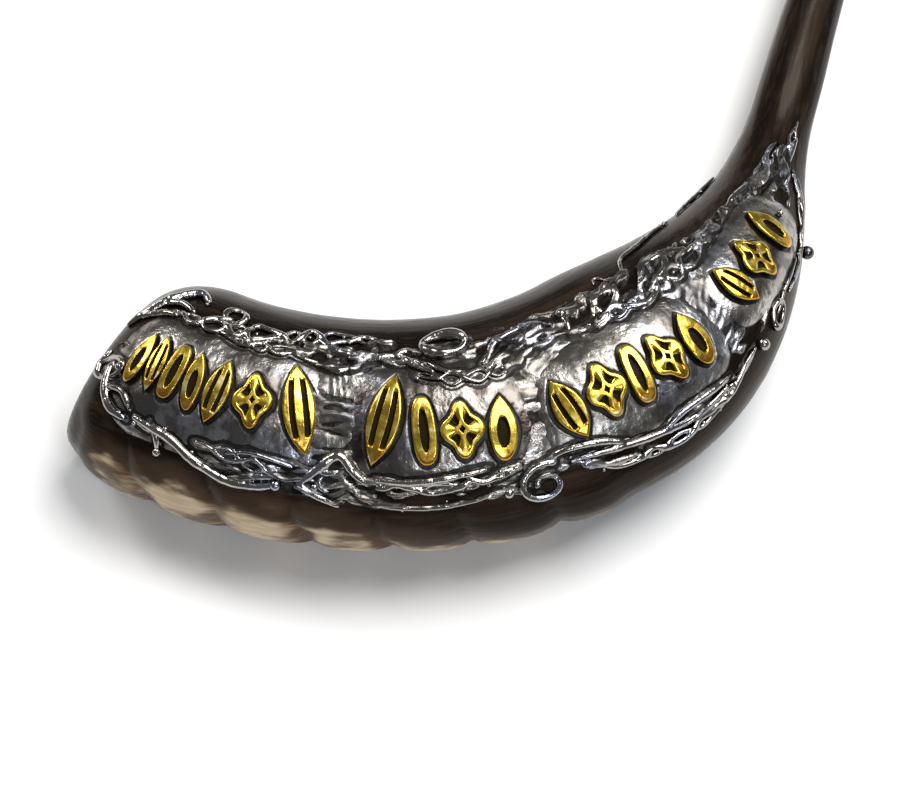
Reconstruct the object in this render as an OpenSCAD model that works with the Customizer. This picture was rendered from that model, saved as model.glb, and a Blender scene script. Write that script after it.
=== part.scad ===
// Ram's horn shofar with a silver vine relief and gold ornaments on one face.
// The horn lies on its side: +X towards the neck, +Y away, +Z up through the decorated face.
// Every relief piece is placed by its distance along the spine (mm) and its angle round the
// section (degrees: 0 on the outer curve, 90 on top, 180 on the inner curve).

/* [Spine] */
// Heading of the spine at the bell, in plan
bell_heading = -35; // [-40:1:-30]
// Length of the gentle arc through the bell and belly
belly_len = 100; // [95:1:105]
// Turn of the belly arc in degrees
belly_turn = 42; // [38:1:46]
// Length of the arc through the bend
bend_len = 80; // [76:1:84]
// Turn of the bend arc in degrees
bend_turn = 45; // [40:1:50]
// Length of the last arc, which leads into the neck
lead_len = 50; // [46:1:54]
// Turn of the last arc in degrees
lead_turn = 22; // [18:1:26]
// Length of the straight drilled neck, mouthpiece included
neck_len = 105; // [95:1:125]
// How far the mouthpiece end is lifted by the curve of the horn
neck_rise = 8; // [5:0.5:10]

/* [Section] */
// Width of the bell's rim
rim_w = 44; // [42:0.5:48]
// Width behind the rim
belly_w = 66; // [62:0.5:68]
// Greatest width, before the bend
flank_w = 68; // [66:0.5:70]
// Width that the taper reaches in the neck
neck_w = 19; // [18:0.5:22]
// Width at the thinnest place
throat_w = 17; // [16:0.5:18]
// Width over the mouthpiece
mouth_w = 20; // [19:0.5:22]
// Length over which the bell rounds over to its rim
round_len = 26; // [20:1:30]
// Thickness as a share of width in the belly
belly_flat = 0.72; // [0.68:0.01:0.76]
// Thickness as a share of width in the neck
neck_flat = 0.9; // [0.86:0.01:0.95]
// How much fuller the inner side is than the outer side
egg = 0.14; // [0.08:0.01:0.18]
// Height of the growth ridges on the outer curve
ridge_h = 1.5; // [0.5:0.1:2]
// Distance from ridge to ridge
ridge_pitch = 19; // [15:0.5:22]

/* [Air way] */
// Wall thickness at the bell
wall = 5; // [4:0.5:6]
// Radius of the drilled bore
bore_r = 4.5; // [4:0.1:4.8]
// Depth of the mouthpiece cup
cup_depth = 8; // [6:0.5:10]
// Radius of the cup at the lips
cup_r = 7.5; // [6.5:0.1:8]

/* [Relief] */
// Height of the domed silver fields over the horn
dome_h = 3.2; // [2.5:0.1:4]
// Height of the gold ornaments over their field
gold_h = 1.9; // [1.4:0.1:2.2]
// Width of a thick vine strand
vine_w = 2.4; // [2:0.1:2.8]
// Width of a thin vine strand
wire_w = 1.5; // [1.2:0.1:1.8]
// Diameter of the dark bead on the outer side of the neck
side_bead_d = 4; // [3.5:0.1:4.5]
// Thickness of the silver ground that the fields and vines lie on
ground_h = 0.4; // [0.3:0.05:0.6]

/* [Hidden] */
HORN_SIDES = 40;
HORN_STEP = 5;
STRAND_SIDES = 6;
STRAND_STEPS = 3;
TAPER_FROM = 145;
TAPER_TO = 262;
RISE_TO = 300;
FLANK_AT = 130;
BORE_FROM = 165;
ARC_END = belly_len + bend_len + lead_len;
HORN_LEN = ARC_END + neck_len;
RIDGE_FROM = 6;
RIDGE_COUNT = 7;

// Silver fields: [place along, angle, half length, half width], from bell to neck
FIELDS = [[36, 78, 30, 18.5], [96, 74, 23.5, 17.5], [147, 67, 27.5, 16], [199, 66, 22.5, 12]];

// Gold ornaments: [name, kind, place along, angle, length across the horn, width, lean]
ORNAMENTS = [
    ["gold_bud_1", "bud", 14.5, 80, 13, 4.8, -6],
    ["gold_leaf_1", "leaf", 19.8, 80, 13.5, 4.8, 4],
    ["gold_petal_1", "petal", 25.3, 79, 13, 5.2, -4],
    ["gold_bud_2", "bud", 31.2, 78, 13.5, 5, 6],
    ["gold_leaf_2", "leaf", 38, 77, 15, 6.6, -5],
    ["gold_flower_1", "flower", 47.6, 77, 12.5, 10.5, 10],
    ["gold_leaf_3", "leaf", 59.8, 78, 22, 8.5, 18],
    ["gold_leaf_4", "leaf", 82, 76, 22, 8.5, -16],
    ["gold_petal_2", "petal", 92, 70, 15.5, 6, 4],
    ["gold_flower_2", "flower", 101.5, 69, 13, 11, 0],
    ["gold_bud_3", "bud", 111.3, 67, 15, 7, -8],
    ["gold_leaf_5", "leaf", 128, 67, 15.5, 7.5, 14],
    ["gold_flower_3", "flower", 138.2, 68, 13, 10.5, 0],
    ["gold_petal_3", "petal", 147, 68, 14, 5.6, -6],
    ["gold_flower_4", "flower", 155.8, 67, 13, 10, 12],
    ["gold_bud_4", "bud", 165.3, 66, 14, 7, -6],
    ["gold_leaf_6", "leaf", 185.5, 68, 13, 7, 12],
    ["gold_flower_5", "flower", 196.5, 67, 12, 10.5, 0],
    ["gold_bud_5", "bud", 208.5, 67, 13, 7, -8]
];

// Vine strands: [name, width, stations [along, angle] chosen by hand]
STRANDS = [
    ["vine_branch", vine_w, [[3, 98], [7, 110], [12, 122], [18, 130], [23, 124]]],
    ["vine_long_strand", vine_w, [[14, 112], [24, 108], [36, 111], [48, 115], [60, 119], [72, 121], [84, 118]]],
    ["vine_under_strand", wire_w, [[30, 107], [39, 104], [49, 105], [58, 109], [66, 115]]],
    ["vine_arc_left", vine_w, [[72, 107], [82, 108], [90, 104], [96, 97]]],
    ["vine_arc_right", wire_w, [[91, 97], [100, 93], [110, 93], [121, 97]]],
    ["vine_leaf_top", wire_w, [[110, 99], [116, 110], [124, 114], [133, 112], [138, 104]]],
    ["vine_leaf_rib", wire_w, [[112, 97], [120, 101], [129, 104], [138, 103]]],
    ["vine_chain", vine_w, [[138, 101], [148, 100], [160, 97], [172, 98], [184, 99], [196, 102], [208, 104]]],
    ["tendril_low", wire_w, [[159, 120], [161, 114], [165, 113], [167, 121], [171, 128], [180, 132], [190, 138]]],
    ["tendril_high", wire_w, [[203, 144], [211, 152], [220, 156], [228, 158]]],
    ["neck_vine", wire_w, [[222, 92], [230, 84], [238, 72], [246, 62], [254, 58]]],
    ["bell_strand", vine_w, [[7, 72], [9, 60], [13, 52], [18, 50]]],
    ["lower_drop", wire_w, [[24, 54], [27, 48], [28, 40]]],
    ["lower_strand", vine_w, [[20, 53], [30, 50], [37, 43], [45, 37], [52, 37], [57, 40]]],
    ["lower_lens", wire_w, [[36, 52], [44, 51], [52, 48], [60, 46], [66, 48]]],
    ["lower_twig", vine_w, [[62, 42], [66, 51], [71, 59], [75, 51], [78, 46]]],
    ["lower_strand_upper", vine_w, [[76, 48], [84, 43], [94, 43], [104, 44], [113, 48]]],
    ["lower_strand_outer", wire_w, [[66, 38], [73, 45], [80, 35], [90, 32], [100, 33], [109, 37]]],
    ["lower_right_strand", vine_w, [[125, 44], [132, 34], [141, 29], [150, 27], [160, 27], [170, 31], [178, 34]]],
    ["neck_edge_strand", wire_w, [[198, 26], [208, 22], [218, 26], [228, 38], [236, 52]]]
];

// Round vine loops: [name, width, along, angle, half length, half width, lean]
LOOPS = [
    ["bell_loop", wire_w, 7, 70, 4, 2.6, 20],
    ["vine_coil", wire_w, 33, 121, 3.4, 2.6, 0],
    ["vine_ring", vine_w, 100, 115, 6.7, 3.2, 0],
    ["vine_bow", wire_w, 154, 108, 5, 2.6, 25],
    ["vine_lens", wire_w, 174, 108, 6, 2.4, 15],
    ["twig_loop", wire_w, 70, 45, 3, 2.4, 0],
    ["knob_cluster", wire_w, 190, 30, 3.4, 2.4, 30]
];

// Silver beads: [along, angle, diameter]
BEADS = [[10, 72, 2.4], [16, 51, 2.2], [28, 40, 2.6], [57, 40, 3.2], [66, 42, 2.4], [110, 35, 3],
    [139, 112, 3.4], [160, 98, 2.2], [180, 31, 3.6], [216, 62, 2.2]];

SIDE_BEAD = [214, 8];

// The silver ground under the relief: its ends along the horn and its half height at mid length
GROUND_FROM = 5;
GROUND_TO = 242;
GROUND_ANGLE = 76;
GROUND_HALF = 26;

// ---- numbers along the spine ----

function clamp(x) = min(max(x, 0), 1);
function smooth(x) = let (t = clamp(x)) t * t * (3 - 2 * t);
function heading(s) = bell_heading
    + belly_turn * clamp(s / belly_len)
    + bend_turn * clamp((s - belly_len) / bend_len)
    + lead_turn * clamp((s - belly_len - bend_len) / lead_len);

// The spine in plan, one point per millimetre
SPINE = [for (i = 0, p = [0, 0]; i <= HORN_LEN;
    p = p + [cos(heading(i + 0.5)), sin(heading(i + 0.5))], i = i + 1) p];

function spine(s) = let (i = min(floor(max(s, 0)), len(SPINE) - 2), f = s - i)
    SPINE[i] * (1 - f) + SPINE[i + 1] * f;

function taper(s) = smooth((s - TAPER_FROM) / (TAPER_TO - TAPER_FROM));
function round_over(s) = let (u = clamp(1 - s / round_len)) 1 - sqrt(max(1 - u * u, 0));
function body_width(s) = let (full = belly_w + (flank_w - belly_w) * smooth(s / FLANK_AT))
    full - (full - rim_w) * round_over(s);
function neck_width(s) = let (t = clamp((s - TAPER_TO) / (HORN_LEN - TAPER_TO)))
    neck_w + (throat_w - neck_w) * smooth(t / 0.7) + (mouth_w - throat_w) * smooth((t - 0.75) / 0.25);
function half_width(s) = (body_width(s) * (1 - taper(s)) + neck_width(s) * taper(s)) / 2;
function flatness(s) = belly_flat + (neck_flat - belly_flat) * taper(s);

// Depth of the section below its centre, as a share of its half thickness
LOWEST = max([for (i = [0:HORN_SIDES - 1]) let (a = i * 360 / HORN_SIDES) -sin(a) * (1 - egg * cos(a))]);

function spine_height(s) = half_width(s) * flatness(s) * LOWEST
    + neck_rise * smooth((s - TAPER_FROM) / (RISE_TO - TAPER_FROM));

// Growth ridges: rounded swellings on the outer curve only
function ridge(s, a) = let (t = (s - RIDGE_FROM) / ridge_pitch)
    t <= 0 || t >= RIDGE_COUNT ? 0 :
    ridge_h * pow(sin(180 * (t - floor(t))), 2) * pow(max(cos(a), 0), 2);

// ---- the horn's surface ----

// Point of a section with half axes a and b, at angle t, pushed out by lift
function section(s, t, a, b, lift) =
    let (n = [cos(t) / a, sin(t) / b],
         out = a * cos(t) + lift * n[0] / norm(n),
         up = b * sin(t) * (1 - egg * cos(t)) + lift * n[1] / norm(n),
         h = heading(s),
         p = spine(s))
    [p[0] + out * sin(h), p[1] - out * cos(h), spine_height(s) + up] - ORIGIN;

function raw_x(s, t) = spine(s)[0] + (half_width(s) * cos(t) + ridge(s, t)) * sin(heading(s));
function raw_y(s, t) = spine(s)[1] - (half_width(s) * cos(t) + ridge(s, t)) * cos(heading(s));
HORN_STATIONS = [for (i = [0:ceil(ARC_END / HORN_STEP)]) min(i * HORN_STEP, ARC_END)];
NECK_STATIONS = [for (i = [0:15]) ARC_END + i * neck_len / 15];
OUTLINE_X = [for (s = concat(HORN_STATIONS, NECK_STATIONS), t = [0, 180]) raw_x(s, t)];
OUTLINE_Y = [for (s = concat(HORN_STATIONS, NECK_STATIONS), t = [0, 180]) raw_y(s, t)];
ORIGIN = [(min(OUTLINE_X) + max(OUTLINE_X)) / 2, (min(OUTLINE_Y) + max(OUTLINE_Y)) / 2, 0];

function horn_point(s, t, lift = 0) =
    section(s, t, half_width(s), half_width(s) * flatness(s), lift + ridge(s, t));

// The hollow: the section less the wall, narrowing to the bore at the neck
function hollow_point(s, t) =
    let (k = smooth((s - BORE_FROM) / (ARC_END - BORE_FROM)),
         a = (half_width(s) - wall) * (1 - k) + bore_r * k,
         b = (half_width(s) * flatness(s) - wall) * (1 - k) + bore_r * k)
    section(s, t, a, b, 0);

// Degrees round the section that one millimetre covers on the decorated face
function degrees_per_mm(s) = 360 / (PI * half_width(s) * (1 + flatness(s)));

// Height of the domed field over the horn at a place, 0 beside the fields
function dome(s, t) = max([for (f = FIELDS)
    let (u = (s - f[0]) / f[2],
         v = (t - f[1]) / (f[3] * degrees_per_mm(s)),
         r = pow(pow(abs(u), 3) + pow(abs(v), 3), 1 / 3))
    dome_h * sqrt(max(1 - r * r, 0))]);

// ---- solids made of rings ----

function mean_point(ring) = [for (k = [0:2]) let (v = [for (p = ring) p[k]]) v * [for (p = ring) 1] / len(ring)];

// Closed solid through rings of equal length, with a fan to the middle of both end rings
module ring_solid(rings) {
    sides = len(rings[0]);
    last = len(rings) - 1;
    first_middle = sides * (last + 1);
    polyhedron(
        points = concat([for (r = rings, p = r) p], [mean_point(rings[0]), mean_point(rings[last])]),
        faces = concat(
            [for (j = [0:sides - 1]) [j, (j + 1) % sides, first_middle]],
            [for (i = [0:last - 1], j = [0:sides - 1]) let (k = (j + 1) % sides)
                each [[i * sides + j, (i + 1) * sides + j, (i + 1) * sides + k],
                    [i * sides + j, (i + 1) * sides + k, i * sides + k]]],
            [for (j = [0:sides - 1])
                [last * sides + (j + 1) % sides, last * sides + j, first_middle + 1]]));
}

// Closed solid whose last ring joins its first
module ring_loop(rings) {
    sides = len(rings[0]);
    count = len(rings);
    polyhedron(
        points = [for (r = rings, p = r) p],
        faces = [for (i = [0:count - 1], j = [0:sides - 1])
            let (k = (j + 1) % sides, n = (i + 1) % count)
            each [[i * sides + j, n * sides + j, n * sides + k],
                [i * sides + j, n * sides + k, i * sides + k]]]);
}

function horn_ring(s) = [for (j = [0:HORN_SIDES - 1]) horn_point(s, j * 360 / HORN_SIDES)];
function hollow_ring(s) = [for (j = [0:HORN_SIDES - 1]) hollow_point(s, j * 360 / HORN_SIDES)];

module horn_body() {
    color([0.13, 0.1, 0.08])
    ring_loop(concat([for (s = HORN_STATIONS) horn_ring(s)],
        [for (i = [len(HORN_STATIONS) - 1:-1:0]) hollow_ring(HORN_STATIONS[i])]));
}

module horn_neck() {
    start = concat(spine(ARC_END), [spine_height(ARC_END)]) - ORIGIN;
    end = concat(spine(HORN_LEN), [spine_height(HORN_LEN)]) - ORIGIN;
    run = end - start;
    slope = atan2(run[2], norm([run[0], run[1]]));
    over = 2;
    color([0.13, 0.1, 0.08])
    difference() {
        ring_solid([for (s = NECK_STATIONS) horn_ring(s)]);
        translate(start) rotate([0, 90 - slope, heading(HORN_LEN)]) {
            translate([0, 0, -over]) cylinder(h = norm(run) + 2 * over, r = bore_r, $fn = 48);
            translate([0, 0, norm(run) - cup_depth])
                cylinder(h = cup_depth + over, r1 = bore_r,
                    r2 = bore_r + (cup_r - bore_r) * (cup_depth + over) / cup_depth, $fn = 48);
        }
    }
}

// ---- silver fields ----

// One domed field: a thin shell that follows the horn below and swells over it
module silver_field(f) {
    sides = 32;
    sink = 0.3;
    // share of the outline and height over the horn of each ring, from below to the crown
    rings = concat([for (share = [0.25, 0.5, 0.75, 1]) [share, -sink]],
        [for (share = [1, 0.96, 0.85, 0.68, 0.45, 0.2]) [share, dome_h * sqrt(1 - share * share)]]);
    color([0.72, 0.73, 0.75])
    ring_solid([for (r = rings) [for (j = [0:sides - 1])
        let (a = j * 360 / sides,
             q = pow(pow(abs(cos(a)), 3) + pow(abs(sin(a)), 3), -1 / 3) * r[0],
             s = f[0] + f[2] * q * cos(a),
             t = f[1] + f[3] * q * sin(a) * degrees_per_mm(s))
        horn_point(s, t, r[1])]]);
}

// The thin silver ground: an oblong skin that follows the horn under fields and vines
module silver_ground() {
    steps = 24;
    sides = 10;
    rings = [for (i = [0:steps]) let (
        s = GROUND_FROM + (GROUND_TO - GROUND_FROM) * i / steps,
        ends = pow(sin(180 * (i + 0.3) / (steps + 0.6)), 0.35),
        half = GROUND_HALF * ends * min(1, half_width(s) / (belly_w / 2)) * degrees_per_mm(s))
        concat([for (j = [0:sides]) horn_point(s, GROUND_ANGLE - half + 2 * half * j / sides, ground_h)],
            [for (j = [sides:-1:0]) horn_point(s, GROUND_ANGLE - half + 2 * half * j / sides, -0.2)])];
    color([0.42, 0.42, 0.43])
    ring_solid(rings);
}

// ---- gold ornaments ----

// Radius of an outline at angle a, as a share of its half length and half width
function lens_share(a) = abs(cos(a)) < 0.05 ? 1 :
    (sqrt(pow(sin(a), 2) + 4 * pow(cos(a), 2)) - abs(sin(a))) / (2 * pow(cos(a), 2));
function outline_share(kind, a) =
    kind == "leaf" ? lens_share(a) :
    kind == "bud" ? (cos(a) > 0 ? lens_share(a) : 1) :
    kind == "flower" ? 0.86 + 0.14 * cos(4 * a) :
    pow(pow(abs(cos(a)), 2.6) + pow(abs(sin(a)), 2.6), -1 / 2.6);

module ornament(spec) {
    sides = 20;
    sink = 0.4;
    // share of the outline and height over the field of each ring
    rings = [[0.5, -sink], [1, -sink], [1, gold_h * 0.55], [0.82, gold_h * 0.92], [0.4, gold_h]];
    half_along = spec[5] / 2;
    half_across = spec[4] / 2;
    color([0.85, 0.66, 0.16])
    ring_solid([for (r = rings) [for (j = [0:sides - 1])
        let (a = j * 360 / sides,
             q = outline_share(spec[1], a) * r[0],
             across = half_across * q * cos(a),
             along = -half_along * q * sin(a),
             s = spec[2] + along * cos(spec[6]) - across * sin(spec[6]),
             t = spec[3] + (along * sin(spec[6]) + across * cos(spec[6])) * degrees_per_mm(spec[2]))
        horn_point(s, t, dome(s, t) + r[1])]]);
}

// ---- vines ----

function route_at(points, u) =
    let (last = len(points) - 1,
         i = min(floor(u), last - 1),
         f = u - i,
         b = points[i],
         c = points[i + 1],
         a = i > 0 ? points[i - 1] : 2 * b - c,
         d = i + 2 <= last ? points[i + 2] : 2 * c - b)
    0.5 * (2 * b + (c - a) * f + (2 * a - 5 * b + 4 * c - d) * f * f + (3 * b - a - 3 * c + d) * f * f * f);

function unit(v) = v / norm(v);

// Ring of a strand round one place on its route
function strand_ring(here, before, after, r) =
    let (lift = dome(here[0], here[1]) + 0.6 * r,
         p = horn_point(here[0], here[1], lift),
         up = horn_point(here[0], here[1], lift + 1) - p,
         way = horn_point(after[0], after[1], lift) - horn_point(before[0], before[1], lift),
         side = unit(cross(way, up)),
         top = unit(cross(side, way)))
    [for (j = [0:STRAND_SIDES - 1]) let (a = j * 360 / STRAND_SIDES)
        p + r * (cos(a) * top + sin(a) * side)];

module strand(width, points) {
    steps = STRAND_STEPS * (len(points) - 1);
    at = [for (i = [0:steps]) route_at(points, i / STRAND_STEPS)];
    color([0.62, 0.63, 0.65])
    ring_solid([for (i = [0:steps])
        strand_ring(at[i], at[max(i - 1, 0)], at[min(i + 1, steps)],
            width / 2 * (0.45 + 0.55 * sqrt(sin(180 * (i + 0.3) / (steps + 0.6)))))]);
}

module loop(width, s, t, half_length, half_height, lean) {
    steps = 16;
    at = [for (i = [0:steps - 1])
        let (a = i * 360 / steps,
             x = half_length * cos(a),
             y = half_height * sin(a))
        [s + x * cos(lean) - y * sin(lean), t + (x * sin(lean) + y * cos(lean)) * degrees_per_mm(s)]];
    color([0.62, 0.63, 0.65])
    ring_loop([for (i = [0:steps - 1])
        strand_ring(at[i], at[(i + steps - 1) % steps], at[(i + 1) % steps], width / 2)]);
}

// The open curl below the second field: a spiral that winds in
module vine_curl() {
    steps = 26;
    turns = 540;
    centre = [118, 35];
    outer = 6.2;
    inner = 1.6;
    at = [for (i = [0:steps])
        let (a = 60 + turns * i / steps,
             r = outer + (inner - outer) * i / steps)
        [centre[0] + r * cos(a), centre[1] + r * sin(a) * degrees_per_mm(centre[0])]];
    color([0.62, 0.63, 0.65])
    ring_solid([for (i = [0:steps])
        strand_ring(at[i], at[max(i - 1, 0)], at[min(i + 1, steps)], wire_w / 2)]);
}

module bead(place, d) {
    translate(horn_point(place[0], place[1], dome(place[0], place[1]) + 0.3 * d))
        sphere(d = d, $fn = 24);
}

module vine_beads() {
    color([0.8, 0.81, 0.83])
    for (b = BEADS) bead(b, b[2]);
}

module side_bead() {
    color([0.2, 0.2, 0.21]) bead(SIDE_BEAD, side_bead_d);
}

horn_body();
horn_neck();
silver_ground();
for (i = [0:len(FIELDS) - 1])
    silver_field(FIELDS[i]);
vine_curl();
vine_beads();
side_bead();
for (v = STRANDS)
    strand(v[1], v[2]);
for (v = LOOPS)
    loop(v[1], v[2], v[3], v[4], v[5], v[6]);
for (g = ORNAMENTS)
    ornament(g);
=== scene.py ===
"""Looks of a ram's horn shofar with a silver vine relief and gold ornaments.

The horn lies on its side. Every relief piece is placed on the horn's surface by its distance along
the spine in millimetres and its angle round the section in degrees: 0 on the outer curve, 90 on top
and 180 on the inner curve. Meshes are written in metres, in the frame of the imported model.
"""
import sys

import logging
import math
from dataclasses import dataclass, field
from enum import Enum

import bpy
import numpy as np
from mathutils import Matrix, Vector
from mathutils.kdtree import KDTree

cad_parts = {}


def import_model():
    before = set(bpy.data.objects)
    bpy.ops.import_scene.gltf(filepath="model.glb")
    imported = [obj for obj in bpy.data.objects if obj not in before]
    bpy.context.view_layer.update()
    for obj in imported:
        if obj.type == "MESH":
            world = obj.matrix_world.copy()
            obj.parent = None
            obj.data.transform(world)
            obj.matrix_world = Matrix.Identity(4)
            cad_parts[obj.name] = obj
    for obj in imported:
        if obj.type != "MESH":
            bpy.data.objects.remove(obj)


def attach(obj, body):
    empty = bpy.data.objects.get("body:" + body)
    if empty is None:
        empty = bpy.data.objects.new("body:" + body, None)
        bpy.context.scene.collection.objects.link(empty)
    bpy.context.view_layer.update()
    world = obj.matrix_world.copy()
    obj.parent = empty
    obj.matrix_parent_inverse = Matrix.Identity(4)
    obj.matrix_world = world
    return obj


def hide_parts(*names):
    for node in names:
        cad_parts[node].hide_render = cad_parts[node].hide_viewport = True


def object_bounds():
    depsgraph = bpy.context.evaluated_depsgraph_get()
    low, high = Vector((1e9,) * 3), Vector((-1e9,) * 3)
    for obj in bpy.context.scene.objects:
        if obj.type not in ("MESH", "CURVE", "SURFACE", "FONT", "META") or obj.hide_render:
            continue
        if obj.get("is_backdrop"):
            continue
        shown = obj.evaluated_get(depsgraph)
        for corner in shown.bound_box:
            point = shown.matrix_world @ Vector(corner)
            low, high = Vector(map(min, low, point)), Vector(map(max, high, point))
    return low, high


MM = 0.001
BODY = "root"
THICK, THIN, FINE = 2.4, 1.5, 1.1  # widths of the vine's strands, in millimetres
Route = tuple[np.ndarray, np.ndarray, bool]  # points, radii, and whether the route is closed
Colour = tuple[float, float, float, float]
log = logging.getLogger("shofar")


class Slot(Enum):
    """Names of the material slots."""

    HORN = "horn"
    SILVER = "silver"
    GOLD = "gold"
    DARK_SILVER = "dark_silver"


class Outline(Enum):
    """Plain generic outlines of the gold ornaments."""

    LEAF = "leaf"
    BUD = "bud"
    PETAL = "petal"
    FLOWER = "flower"


# ---------------------------------------------------------------- numbers


def clamp01(x: np.ndarray) -> np.ndarray:
    """Return x limited to 0..1."""
    return np.clip(x, 0.0, 1.0)


def smooth(x: np.ndarray) -> np.ndarray:
    """Return the smoothstep of x, which is 0 below 0 and 1 above 1."""
    t = clamp01(np.asarray(x, float))
    return t * t * (3.0 - 2.0 * t)


def lattice_noise(points: np.ndarray, seed: int) -> np.ndarray:
    """Return smooth value noise.

    Args:
        points: Places, shape (..., 2), one noise cell per unit.
        seed: Whole number that picks the pattern.

    Returns:
        Values from -1 to 1, one per place.
    """
    cell = np.floor(points).astype(np.int64)
    part = points - cell
    ease = part * part * (3.0 - 2.0 * part)

    def corner(dx: int, dy: int) -> np.ndarray:
        """Return the random value of one corner of each cell.

        Args:
            dx: Step to the corner along the first axis.
            dy: Step to it along the second axis.

        Returns:
            Values from -1 to 1.
        """
        n = (cell[..., 0] + dx) * 374761393 + (cell[..., 1] + dy) * 668265263 + seed * 362437
        n = (n ^ (n >> 13)) * 1274126177
        n = n ^ (n >> 16)
        return (n & 0xFFFFFF) / float(0x7FFFFF) - 1.0

    low = corner(0, 0) * (1 - ease[..., 0]) + corner(1, 0) * ease[..., 0]
    high = corner(0, 1) * (1 - ease[..., 0]) + corner(1, 1) * ease[..., 0]
    return low * (1 - ease[..., 1]) + high * ease[..., 1]


def rough_noise(points: np.ndarray, seed: int, octaves: int = 3) -> np.ndarray:
    """Return value noise summed over octaves, each half as high and half as long as the last.

    Args:
        points: Places, shape (..., 2).
        seed: Whole number that picks the pattern.
        octaves: Layers of detail.

    Returns:
        Values from -1 to 1.
    """
    total = np.zeros(points.shape[:-1])
    share = 0.0
    for k in range(octaves):
        total += lattice_noise(points * 2.0**k + 17.3 * k, seed + k) * 0.5**k
        share += 0.5**k
    return total / share


def pattern(x: np.ndarray, y: np.ndarray | float, long: float, wide: float, seed: int,
            octaves: int = 3) -> np.ndarray:
    """Return rough noise over a surface.

    Args:
        x: First place of each point.
        y: Second place of each point.
        long: Size of a noise cell along x.
        wide: Size of a noise cell along y.
        seed: Whole number that picks the pattern.
        octaves: Layers of detail.

    Returns:
        Values from -1 to 1.
    """
    return rough_noise(np.stack(np.broadcast_arrays(x / long, y / wide), -1), seed, octaves)


# ---------------------------------------------------------------- the horn's form


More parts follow.
